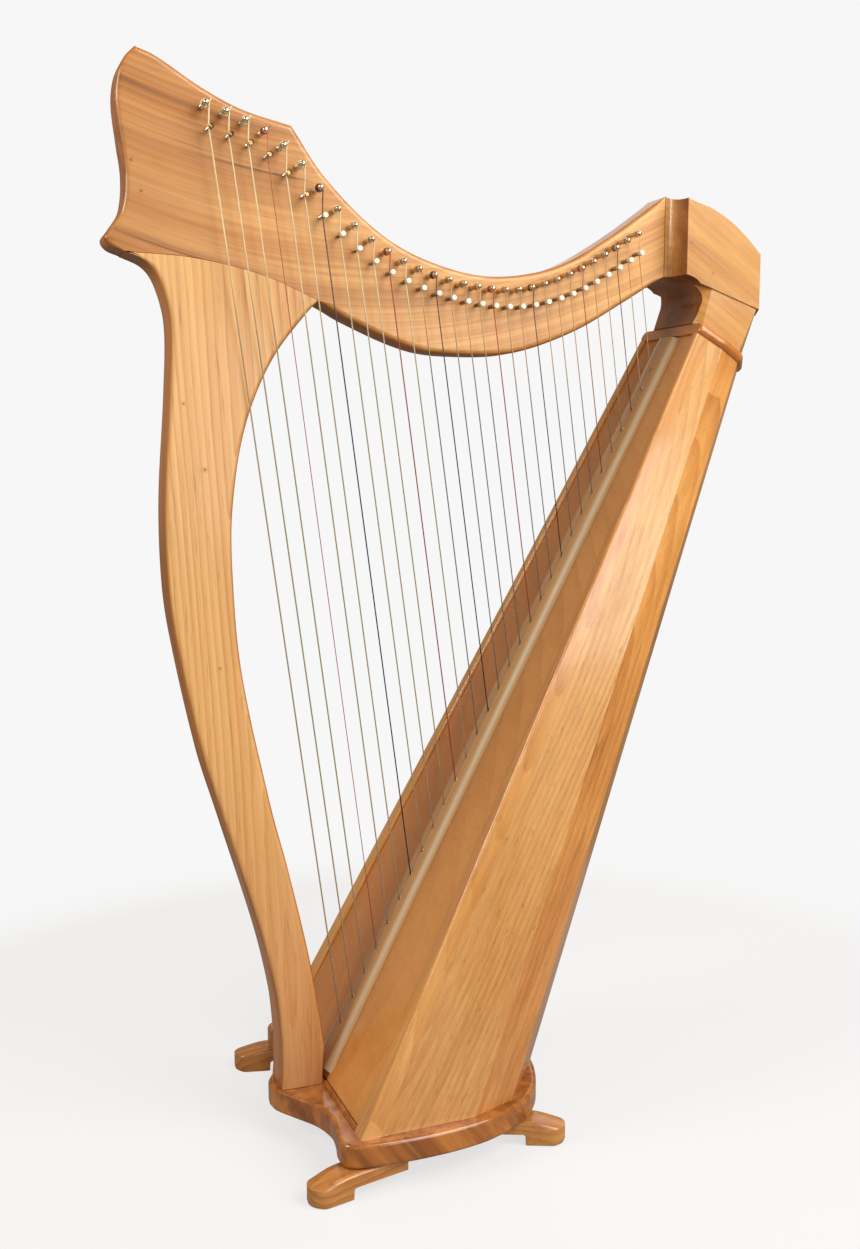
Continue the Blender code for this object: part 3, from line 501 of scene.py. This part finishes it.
def curve(points, steps):
    """Points on a smooth curve through these points."""
    knots = [Vector(p) for p in points]
    knots = [2 * knots[0] - knots[1], *knots, 2 * knots[-1] - knots[-2]]
    found = []
    for a, b, c, d in zip(knots, knots[1:], knots[2:], knots[3:]):
        size = (c - b).length
        start = (c - a) * (size / ((b - a).length + size))
        end = (d - b) * (size / (size + (d - c).length))
        for k in range(steps):
            t = k / steps
            found.append((2 * t**3 - 3 * t**2 + 1) * b + (t**3 - 2 * t**2 + t) * start
                         + (3 * t**2 - 2 * t**3) * c + (t**3 - t**2) * end)
    found.append(knots[-2])
    return found


def rounded_corner(start, corner, end, steps=5):
    """Points on a curve from start to end that bends towards the corner."""
    return [(1 - t)**2 * start + 2 * t * (1 - t) * corner + t * t * end
            for t in [k / steps for k in range(steps + 1)]]


def height_at(row, x):
    """The height of a row of pins at this x."""
    line = curve(row, 8)
    for low, high in zip(line, line[1:]):
        if low.x <= x <= high.x:
            return low.y + (high.y - low.y) * (x - low.x) / (high.x - low.x)
    raise ValueError(f"{x} is off the row")


def spread(index, span, gather):
    """How far along a row this string is. gather widens the spacing at the bass end."""
    t = index / (STRINGS - 1)
    return span * (t + gather * (t - t * t))


def bridge_place(index):
    x = BRIDGE_1_X + spread(index, BRIDGE_SPAN, BRIDGE_GATHER)
    return Vector((x, 0, height_at(BRIDGE_ROW, x)))


def tuning_place(index):
    x = bridge_place(index).x - PIN_ROW_LAG
    return Vector((x, 0, height_at(TUNING_ROW, x)))


def string_radius(index):
    share = 1.0 if index + 1 == THIN_STRING else index / (STRINGS - 1)
    return STRING_RADIUS_BASS + share * (STRING_RADIUS_TREBLE - STRING_RADIUS_BASS)


def linked(name, data):
    obj = bpy.data.objects.new(name, data)
    bpy.context.scene.collection.objects.link(obj)
    return obj


def finished(name, bm, material, body="root", stands_for=(), sharp=38, weighted=True):
    """The object of this mesh, shaded, riding on its body."""
    bmesh.ops.recalc_face_normals(bm, faces=bm.faces)
    mesh = bpy.data.meshes.new(name)
    bm.to_mesh(mesh)
    bm.free()
    mesh.polygons.foreach_set("use_smooth", [True] * len(mesh.polygons))
    mesh.set_sharp_from_angle(angle=math.radians(sharp))
    obj = linked(name, mesh)
    for one in (material if isinstance(material, list) else [material]):
        mesh.materials.append(bpy.data.materials["look_" + one])
    if weighted:
        step = obj.modifiers.new("Normals", "WEIGHTED_NORMAL")
        step.keep_sharp = True
        step.mode = "FACE_AREA"
    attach(obj, body)
    if stands_for:
        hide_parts(*stands_for)
    return obj


def add_rings(bm, rings, material=0):
    """Skins a body of closed rings into bm, with a cap at each end."""
    rows = [[bm.verts.new(point) for point in ring] for ring in rings]
    made = []
    for low, high in zip(rows, rows[1:]):
        for i, vert in enumerate(low):
            j = (i + 1) % len(low)
            made.append(bm.faces.new((vert, low[j], high[j], high[i])))
    made.append(bm.faces.new(rows[0][::-1]))
    made.append(bm.faces.new(rows[-1]))
    for face in made:
        face.material_index = material


def inward_of(outline):
    """For each point of a closed outline, the way inwards that keeps its edges parallel."""
    area = sum(a.x * b.y - b.x * a.y for a, b in zip(outline, outline[1:] + outline[:1]))
    turn = 1 if area > 0 else -1
    found = []
    for i, point in enumerate(outline):
        first = (point - outline[i - 1]).normalized()
        second = (outline[(i + 1) % len(outline)] - point).normalized()
        normal_1 = Vector((-first.y, first.x)) * turn
        normal_2 = Vector((-second.y, second.x)) * turn
        way = (normal_1 + normal_2).normalized()
        found.append(way / max(0.55, way.dot(normal_1)))
    return found


def rounded_slab(bm, outline, radii, low, high, place, arc=6):
    """A slab between two levels whose edges are rounded by each outline point's own radius."""
    inward = inward_of(outline)
    rings = []
    levels = [(side, k) for side, order in ((-1, range(arc + 1)), (1, range(arc, -1, -1)))
              for k in order]
    for side, k in levels:
        angle = math.pi / 2 * k / arc
        ring = []
        for point, way, radius in zip(outline, inward, radii):
            inset = radius * (1 - math.sin(angle))
            rise = radius * (1 - math.cos(angle))
            level = (low + rise) if side < 0 else (high - rise)
            at = point + way * inset
            ring.append(place(at.x, at.y, level))
        rings.append(ring)
    add_rings(bm, rings)


def lathe(bm, centre, axis, profile, sides, material=0):
    """A turned body: (distance along the axis, radius) from a centre."""
    axis = Vector(axis)
    across = axis.orthogonal().normalized()
    over = axis.cross(across)
    rings = []
    for along, radius in profile:
        rings.append([centre + axis * along + radius * (math.cos(a) * across + math.sin(a) * over)
                      for a in [math.tau * k / sides for k in range(sides)]])
    add_rings(bm, rings, material)


def sweep(bm, path, radius, sides=8):
    """A round tube along a path, with a frame that doesn't twist."""
    points = [Vector(p) for p in path]
    ahead = (points[1] - points[0]).normalized()
    side = ahead.orthogonal().normalized()
    rings = []
    for i, point in enumerate(points):
        new = (points[min(i + 1, len(points) - 1)] - points[max(i - 1, 0)]).normalized()
        side = (side - new * side.dot(new)).normalized()
        up = new.cross(side)
        rings.append([point + radius * (math.cos(a) * side + math.sin(a) * up)
                      for a in [math.tau * k / sides for k in range(sides)]])
    add_rings(bm, rings)


def swell_faces(bm, swell):
    """Moves every face of bm outwards by swell."""
    moves = []
    for vert in bm.verts:
        ways = []
        for face in vert.link_faces:
            if all(face.normal.dot(way) < 0.97 for way in ways):
                ways.append(face.normal.copy())
        moves.append(sum(ways, Vector()) * swell)
    for vert, move in zip(bm.verts, moves):
        vert.co += move


def round_front_edges(bm, radius):
    """Rounds the long edges of bm that lie at the front of the soundbox."""
    to_board = BOARD_TO_HARP.inverted()
    edges = [edge for edge in bm.edges if edge.calc_length() > LONG_EDGE
             and all((to_board @ (v.co - SHIFT)).x < RAIL_FRONT + 0.001 for v in edge.verts)]
    bmesh.ops.bevel(bm, geom=edges, offset=radius, segments=4, profile=0.5, affect="EDGES")


def copied(node, material, bevel, segments=3, sharp=35, angle=30, swell=0.0, front=0.0):
    """The CAD node's own shape, welded, with its edges eased."""
    bm = bmesh.new()
    bm.from_mesh(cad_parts[node].data)
    bmesh.ops.remove_doubles(bm, verts=bm.verts, dist=WELD)
    bmesh.ops.dissolve_limit(bm, angle_limit=math.radians(0.4), verts=bm.verts, edges=bm.edges)
    bm.normal_update()
    if swell:
        swell_faces(bm, swell)
    if front:
        round_front_edges(bm, front)
    obj = finished(node + "_shape", bm, material, stands_for=[node], sharp=sharp,
                   weighted=False)
    if bevel:
        step = obj.modifiers.new("Edges", "BEVEL")
        step.width = bevel
        step.segments = segments
        step.limit_method = "ANGLE"
        step.angle_limit = math.radians(angle)
        step.harden_normals = False
    step = obj.modifiers.new("Normals", "WEIGHTED_NORMAL")
    step.keep_sharp = True


def eased(points, radius, tight, marks, rate=0.35):
    """A radius for each point: small at the marks, growing to the full radius away from them."""
    found = []
    for point in points:
        gap = min((point - Vector(mark)).length for mark in marks)
        found.append(min(radius, tight + rate * gap))
    return found


def make_neck():
    """The neck, with the joint to the column as one of its edges."""
    joint = curve(JOINT_CURVE, 12)
    end = [Vector((NECK_SWEEP[-1][0], NECK_SWEEP[-1][1] * (1 - t) + NECK_BELLY[0][1] * t))
           for t in (0, 0.25, 0.5, 0.75)]
    outline = (curve(NECK_TOP, 10)[:-1] + curve(NECK_SWEEP, 12)[:-1] + end
               + curve(NECK_BELLY, 12)[:-1] + joint[:-1] + curve(NECK_FRONT, 8)[:-1])
    radii = eased(outline, WOOD_EDGE, JOINT_EDGE, joint + end + [Vector(NECK_BELLY[0])])
    bm = bmesh.new()
    rounded_slab(bm, outline, radii, -NECK_FACE, NECK_FACE, lambda x, z, y: harp(x, y, z))
    finished("neck_shape", bm, "neck_wood", stands_for=["neck"], sharp=50)


def make_column():
    """The column, from the joint with the neck down to its foot in the base plate."""
    joint = [p - Vector((0, JOINT_GAP)) for p in curve(JOINT_CURVE, 12)]
    foot = [Vector(p) for p in COLUMN_FOOT]
    front = curve(COLUMN_FRONT, 8)[1:]
    front += [front[-1].lerp(foot[0], t) for t in (0.25, 0.5, 0.75)]
    back = curve(COLUMN_BACK, 10)[:-1]
    back = [foot[1].lerp(back[0], t) for t in (0.25, 0.5, 0.75)] + back
    outline = joint + front + foot + back
    radii = eased(outline, WOOD_EDGE, JOINT_EDGE, joint + foot)
    bm = bmesh.new()
    rounded_slab(bm, outline, radii, -COLUMN_FACE, COLUMN_FACE, lambda x, z, y: harp(x, y, z))
    finished("column_shape", bm, "column_wood", stands_for=["column"], sharp=50)


def make_base_plate():
    """The plate under the column and the soundbox, alike on both sides."""
    half = curve(PLATE_NOSE, 6)[:-1] + curve(PLATE_TAIL, 8)
    outline = half + [Vector((p.x, -p.y)) for p in half[-2:0:-1]]
    bm = bmesh.new()
    rounded_slab(bm, outline, [PLATE_EDGE] * len(outline), PLATE_LOW, PLATE_HIGH, harp, arc=8)
    finished("base_plate_shape", bm, "base_wood", stands_for=["base_plate"],
             sharp=50)


def foot_side_view():
    """The foot's outline from the side, as (distance from its tip, height)."""
    top = [(-FOOT_LENGTH, FOOT_TOP)]
    top += [(-TIP_LENGTH * (1 - t), FOOT_TOP - TIP_DROP * t * t) for t in [k / 10 for k in range(11)]]
    nose = [(0.0, 0.0140), (0.0, 0.0085), (0.0, 0.0035), (-0.0008, 0.0010), (-0.0030, 0.0)]
    sole = [(-0.016, 0.0), (-PAD_LENGTH + 0.0016, 0.0), (-PAD_LENGTH, 0.0012),
            (-PAD_LENGTH, BAR_BOTTOM * 0.6), (-PAD_LENGTH - 0.0006, BAR_BOTTOM - 0.001),
            (-PAD_LENGTH - 0.0025, BAR_BOTTOM), (-FOOT_LENGTH, BAR_BOTTOM)]
    return top + nose + sole


def foot_slice(side_view, angle, place):
    """The foot's outline where its round tip, seen from above, has turned by this angle."""
    across = FOOT_HALF * math.sin(angle)
    back = FOOT_HALF * (math.cos(angle) - 1)
    over = max(0.0, abs(across) - (FOOT_HALF - FOOT_EDGE)) / FOOT_EDGE
    ease = FOOT_EDGE * (1 - math.sqrt(max(0.0, 1 - over * over)))
    ring = []
    for along, height in side_view:
        t = min(1.0, max(0.0, (along + FOOT_NOSE) / FOOT_NOSE))
        fall = ease if height > BAR_BOTTOM + 0.003 else 0.0
        lift = ease * 0.35 if height < 0.0005 else 0.0
        ring.append(place(along + back * t * t * (3 - 2 * t), across, height - fall + lift))
    return ring


def make_feet():
    """The four feet, which are alike and differ in place and direction."""
    side_view = foot_side_view()
    for name, (x, y, angle) in FEET.items():
        for side_name, side in (("right", -1), ("left", 1)):
            turn = Matrix.Rotation(side * math.radians(angle), 3, "Z")

            def place(along, across, height):
                point = turn @ Vector((along, across, 0))
                return harp(x + point.x, side * y + point.y, height)

            bm = bmesh.new()
            add_rings(bm, [foot_slice(side_view, math.pi * (k / 24 - 0.5), place) for k in range(25)])
            bmesh.ops.remove_doubles(bm, verts=bm.verts, dist=WELD)
            full = f"{name}_{side_name}"
            finished(full + "_shape", bm, "foot_wood", stands_for=[full], sharp=48)


def collar_outline(out):
    """The soundbox's outline at the collar, moved outwards, as (depth, y)."""
    half = [Vector((RAIL_FRONT, COLLAR_HALF_WIDTH))]
    half += [Vector((depth, share * COLLAR_HALF_WIDTH)) for depth, share in COLLAR_CORNERS]
    ring = half + [Vector((p.x, -p.y)) for p in half[::-1]]
    inward = inward_of(ring)
    moved = [p - way * out for p, way in zip(ring, inward)]
    moved[0].x = moved[-1].x = RAIL_FRONT
    rounded = []
    for i, point in enumerate(moved):
        before, after = moved[i - 1], moved[(i + 1) % len(moved)]
        start = point + (before - point).normalized() * COLLAR_CORNER
        end = point + (after - point).normalized() * COLLAR_CORNER
        rounded += rounded_corner(start, point, end)
    return rounded


def make_rib():
    """The raised strip that the strings come out of, with soft shoulders."""
    half = []
    for k in range(15):
        t = k / 14
        rise = 0.5 - 0.5 * math.cos(math.pi * t)
        half.append((RIB_BACK - RIB_BACK * rise, RIB_FOOT + (RIB_FLAT - RIB_FOOT) * t))
    outline = half + [(x, -y) for x, y in half[::-1]]
    levels = (RIB_LOW_S, *[k * RIB_STEP for k in range(10)], RIB_HIGH_S)
    bm = bmesh.new()
    add_rings(bm, [[board(x, y, s) for x, y in outline] for s in levels])
    finished("string_rib_shape", bm, "rib_wood", stands_for=["string_rib"], sharp=60,
             weighted=False)


def make_collar():
    """The bead of wood round the top of the soundbox."""
    low, high, out = COLLAR_BEAD
    middle, tall = (low + high) / 2, (high - low) / 2
    rings = []
    for k in range(13):
        a = math.pi * (k / 12 - 0.5)
        rings.append([board(p.x, p.y, middle + tall * math.sin(a))
                      for p in collar_outline(out - tall * (1 - math.cos(a)))])
    bm = bmesh.new()
    add_rings(bm, rings)
    finished("collar_bead", bm, "collar_wood", stands_for=["collar"], sharp=60)


def beside_neck(place):
    """The point in line with this one where the strings run, on the right of the neck."""
    return place + (Vector((0, -NECK_FACE - STRING_STAND_OFF, 0)) + SHIFT)


def string_look(number):
    if number in RED_STRINGS:
        return "string_red"
    if number in DARK_STRINGS:
        return "string_dark"
    return "string_cream" if number <= LAST_CREAM_STRING else "string_clear"


def make_string(index):
    """One string from its knot inside the board to where it meets its tuning pin."""
    number = index + 1
    radius = string_radius(index)
    s = spread(index, HOLE_SPAN, HOLE_GATHER)
    bridge = beside_neck(bridge_place(index)) - Vector((GROOVE_RADIUS + radius * 0.4, 0, 0))
    leave = beside_neck(tuning_place(index)) + Vector((TUNING_PIN_RADIUS + radius, 0, 0))
    hole = board(-0.0006, 0, s)
    below = board(BOARD_FRONT + BOARD_THICKNESS, 0, s)
    up = bridge - hole
    path = [below, board(0.0012, 0, s), hole]
    path += [hole + up * t for t in (0.004, 0.012, 0.03, 0.25, 0.5, 0.75, 0.97)]
    path += rounded_corner(bridge - up.normalized() * STRING_BEND, bridge,
                           bridge + (leave - bridge).normalized() * STRING_BEND)
    path += [bridge.lerp(leave, 0.5), leave]
    bm = bmesh.new()
    sweep(bm, path, radius)
    lathe(bm, below, BOARD_TO_HARP.to_3x3() @ Vector((1, 0, 0)), KNOT, 10)
    finished(f"string_{number:02d}", bm, string_look(number), sharp=80, weighted=False)


def make_winding(index):
    """The turns of a string round its tuning pin and its cut end. They turn with the pin."""
    number = index + 1
    radius = string_radius(index)
    pin = beside_neck(tuning_place(index))
    reach = TUNING_PIN_RADIUS + radius
    coil = []
    for k in range(COIL_STEPS + 1):
        a = math.tau * COIL_TURNS * k / COIL_STEPS
        along = COIL_PITCH * radius * COIL_TURNS * k / COIL_STEPS
        coil.append(pin + Vector((reach * math.cos(a), along, reach * math.sin(a))))
    last = coil[-1]
    heading = (coil[-1] - coil[-2]).normalized()
    out = (last - pin).normalized()
    out.y = 0
    tail = LONG_TAIL if number <= LAST_LONG_TAIL else SHORT_TAIL
    coil += [last + heading * tail * ahead + out * tail * aside
             for ahead, aside in ((0.3, 0.10), (0.7, 0.35), (1.0, 0.6))]
    bm = bmesh.new()
    sweep(bm, coil, radius * (1.0 if number <= LAST_FULL_COIL else THIN_COIL))
    finished(f"winding_{number:02d}", bm, string_look(number), body=f"pin_{number:02d}",
             sharp=80, weighted=False)


def make_tuning_pin(index):
    """A round pin with a square end on the left for the key. The bass ones are threaded."""
    number = index + 1
    bass = number <= LAST_BASS_PIN
    centre = tuning_place(index) + SHIFT
    near = NECK_FACE + TUNING_PIN_REACH
    r = TUNING_PIN_RADIUS
    profile = [(-near + r * 0.8 * (1 - math.sin(a)), max(0.0002, r * math.cos(a)))
               for a in [math.pi / 2 * (1 - k / 9) for k in range(10)]]
    for k in range(PIN_THREADS if bass else 0):
        at = -NECK_FACE - PIN_THREAD_START + PIN_THREAD_PITCH * k
        profile += [(at, r), (at + 0.00014, r * 0.95), (at + 0.0004, r * 0.95)]
    profile += [(-NECK_FACE + 0.0015, r), (NECK_FACE + 0.0024, r), (NECK_FACE + PIN_ROUND_END, r * 0.9)]
    bm = bmesh.new()
    lathe(bm, centre, (0, 1, 0), profile, 20)
    far = NECK_FACE + TUNING_KEY_REACH
    rings = []
    for y, size in ((NECK_FACE + 0.0028, 1.0), (far - 0.0009, 0.90), (far - 0.0002, 0.72), (far, 0.55)):
        corners = []
        for k in range(4):
            a = math.radians(45 + 90 * k)
            for lean in (-7, 7):
                b = a + math.radians(lean)
                reach = KEY_HALF_WIDTH * size * 1.36
                corners.append(centre + Vector((reach * math.cos(b), y, reach * math.sin(b))))
        rings.append(corners)
    add_rings(bm, rings)
    finished(f"pin_{number:02d}_shape", bm, "nickel" if bass else "pewter", body=f"pin_{number:02d}",
             stands_for=[f"tuning_pin_{number:02d}"], sharp=40)


def metal_cap(wide):
    """A turned screw head of this radius: (depth below its top, radius), with a hollow in the top."""
    return [(CAP_DEPTH, GROOVE_RADIUS), (0.0058, 0.0021), (0.0044, GROOVE_RADIUS),
            (0.0034, GROOVE_RADIUS), (0.0028, wide - 0.0003), (0.0018, wide), (0.0006, wide),
            (0, wide - 0.0005), (0.0002, wide - 0.0009), (0.0016, wide - 0.0011), (0.0016, 0.0002)]


def make_bridge_pin(index):
    """A threaded shank with a grooved cap that the string bends round."""
    number = index + 1
    centre = bridge_place(index) + SHIFT
    end = NECK_FACE + BRIDGE_PIN_REACH
    at = NECK_FACE - 0.0004
    shank = []
    while at < end - 0.0062:
        shank += [(at, SHANK_ROOT), (at + SHANK_PITCH / 2, SHANK_CREST), (at + SHANK_PITCH, SHANK_ROOT)]
        at += SHANK_PITCH
    looks = ["steel", "bronze", "brass", "cap_white"]
    if number in BRONZE_CAPS:
        cap, cap_look = metal_cap(BRONZE_CAP_RADIUS), "bronze"
    elif number <= LAST_METAL_CAP:
        cap, cap_look = metal_cap(BRASS_CAP_RADIUS), "brass"
    else:
        cap, cap_look = PLASTIC_CAP, "cap_white"
    shank_look = "steel" if number <= LAST_BASS_PIN else "bronze"
    bm = bmesh.new()
    lathe(bm, centre, (0, -1, 0), shank, 14, looks.index(shank_look))
    lathe(bm, centre, (0, -1, 0), [(end - depth, radius) for depth, radius in cap], 22,
          looks.index(cap_look))
    finished(f"bridge_pin_{number:02d}", bm, looks, sharp=35)


def make_eyelets():
    """A small turned eyelet round each string hole."""
    axis = BOARD_TO_HARP.to_3x3() @ Vector((-1, 0, 0))
    lip = [(0.0002 + 0.0006 * math.sin(a), 0.0018 - 0.0007 * math.cos(a))
           for a in [math.pi * k / 8 for k in range(9)]]
    for index in range(STRINGS):
        s = spread(index, HOLE_SPAN, HOLE_GATHER)
        bm = bmesh.new()
        lathe(bm, board(0, 0, s), axis, [(-0.001, 0.0011), *lip, (-0.001, 0.0025)], 16)
        finished(f"eyelet_{index + 1:02d}", bm, "brass", sharp=50, weighted=False)


def make_liner():
    """The hard strip inside the board that the knots bear on."""
    front, back, wide = LINER
    outline = [(front, -wide), (front, wide), (back, wide), (back, -wide)]
    bm = bmesh.new()
    add_rings(bm, [[board(x, y, s) for x, y in outline] for s in (LINER_LOW_S, LINER_HIGH_S)])
    bmesh.ops.bevel(bm, geom=list(bm.edges), offset=0.0005, segments=2, affect="EDGES")
    finished("string_liner", bm, "rail_wood", stands_for=["string_set"])


def make_copies():
    """The pieces whose CAD shape already has all its detail."""
    copied("shoulder_block", "block_wood", 0.0022, 4, 40, 24)
    copied("soundboard", "board_wood", 0.0)
    for side in ("left", "right"):
        copied(f"rail_{side}", "rail_wood", 0.0, swell=SWELL, front=RAIL_EDGE)
        copied(f"foot_trim_{side}", "base_wood", 0.0006, 2)
        copied(f"stave_side_{side}", "side_wood", 0.0002, 2, swell=SWELL)
        for kind in ("rear", "corner"):
            copied(f"stave_{kind}_{side}", "rear_wood", 0.0002, 2, swell=SWELL)
    copied("stave_back", "side_wood", 0.0008)
    for node in ("bottom_block", "top_block", "brace_lower", "brace_upper"):
        copied(node, "inner_wood", 0.0004, 2)


# ---------------------------------------------------------------- studio

CAMERA_PLACE = (-0.37432, -1.21361, 0.65344)
CAMERA_DIP, CAMERA_TURN = 7.13, -21.12
CAMERA_LENS = 38.62
PAPER = 0.93  # what the camera sees of the floor and the background
AMBIENT = 0.26  # what the background gives the harp
FLOOR_GLOW = 0.16  # what the floor gives the harp
FLOOR_LEAST_GLOW = 0.75
FLOOR_REACH = 9.0
WHITE = (1.0, 1.0, 1.0)
WARM = (1.0, 0.80, 0.60)
LIGHTS = {  # place, target, size, power, colour
    "key": ((1.0, -1.4, 2.0), (0.05, 0, 0.80), (1.6, 1.6), 51, (1.0, 0.985, 0.94)),
    "back": ((1.0, 1.8, 2.0), (0, 0, 0.5), (2.0, 2.0), 12, (1.0, 0.97, 0.93)),
    "fill": ((-2.0, -0.15, 1.6), (0, 0, 0.45), (0.8, 0.8), 24, (1.0, 0.95, 0.87)),
    "front": ((-0.9, -2.4, 0.9), (0, 0, 0.4), (0.8, 0.8), 6, (1.0, 0.97, 0.93)),
    "panel": ((0.75, -1.75, 0.72), (0, 0, 0.72), (1.3, 0.5), 10, (1.0, 0.98, 0.95)),
}


def make_camera():
    data = bpy.data.cameras.new("camera")
    data.sensor_fit = "AUTO"
    data.sensor_width = 36.0
    data.lens = CAMERA_LENS
    data.clip_start, data.clip_end = 0.01, 100.0
    obj = linked("camera", data)
    obj.location = harp(*CAMERA_PLACE)
    obj.rotation_euler = (math.radians(90 - CAMERA_DIP), 0, math.radians(CAMERA_TURN))
    bpy.context.scene.camera = obj


def make_light(name, place, target, size, power, colour):
    data = bpy.data.lights.new(name, "AREA")
    data.shape = "RECTANGLE"
    data.size, data.size_y = size
    data.energy = power
    data.color = colour
    obj = linked(name, data)
    obj.location = place
    way = Vector(target) - Vector(place)
    obj.rotation_euler = way.to_track_quat("-Z", "Y").to_euler()


def paper_floor():
    """Paper that the camera sees as a plain pale tone and that lights the harp only dimly."""
    net = Shader("floor_paper")
    cloudy = net.noise(net.coords, 3.0, 3.0, 0.5)
    net.set("Base Color", net.mix(cloudy, (0.80, 0.80, 0.81), (0.84, 0.84, 0.85)))
    net.set("Roughness", 0.9)
    net.set("Specular IOR Level", 0.1)
    far = net.add("ShaderNodeVectorMath", {0: net.coords}, operation="LENGTH").outputs["Value"]
    seen = net.add("ShaderNodeLightPath").outputs["Is Camera Ray"]
    glow = net.add("ShaderNodeEmission", {"Color": net.mix(seen, WARM, WHITE),
                                          "Strength": net.range(seen, 0.0, 1.0, FLOOR_GLOW, PAPER)})
    share = net.maths("MAXIMUM", net.range(far, 0.3, 0.9), FLOOR_LEAST_GLOW)
    blend = net.add("ShaderNodeMixShader", {0: share})
    net.tree.links.new(net.out.outputs[0], blend.inputs[1])
    net.tree.links.new(glow.outputs[0], blend.inputs[2])
    net.tree.links.new(blend.outputs[0], net.tree.nodes["Material Output"].inputs["Surface"])
    return net.material


def make_floor():
    bm = bmesh.new()
    corners = [bm.verts.new((x * FLOOR_REACH, y * FLOOR_REACH, 0))
               for x, y in ((-1, -1), (1, -1), (1, 1), (-1, 1))]
    bm.faces.new(corners)
    mesh = bpy.data.meshes.new("floor")
    bm.to_mesh(mesh)
    bm.free()
    floor = linked("floor", mesh)
    mesh.materials.append(paper_floor())


def make_world():
    """A background that the camera sees as paper and the harp as a dimmer, warmer room."""
    world = bpy.data.worlds.new("studio")
    world.use_nodes = True
    tree = world.node_tree
    seen = tree.nodes.new("ShaderNodeLightPath").outputs["Is Camera Ray"]
    background = tree.nodes["Background"]
    level = tree.nodes.new("ShaderNodeMapRange")
    level.inputs[3].default_value = AMBIENT
    level.inputs[4].default_value = PAPER
    tree.links.new(seen, level.inputs[0])
    tree.links.new(level.outputs[0], background.inputs["Strength"])
    tone = tree.nodes.new("ShaderNodeMix")
    tone.data_type = "RGBA"
    tone.inputs[6].default_value = (*WARM, 1.0)
    tone.inputs[7].default_value = (*WHITE, 1.0)
    tree.links.new(seen, tone.inputs[0])
    tree.links.new(tone.outputs[2], background.inputs["Color"])
    bpy.context.scene.world = world
    bpy.context.scene.view_settings.view_transform = "Standard"


make_camera()
make_materials()
make_neck()
make_column()
make_base_plate()
make_feet()
make_collar()
make_rib()
make_copies()
make_liner()
make_eyelets()
for i in range(STRINGS):
    make_string(i)
    make_winding(i)
    make_tuning_pin(i)
    make_bridge_pin(i)
make_floor()
make_world()
for light, settings in LIGHTS.items():
    make_light(light, *settings)
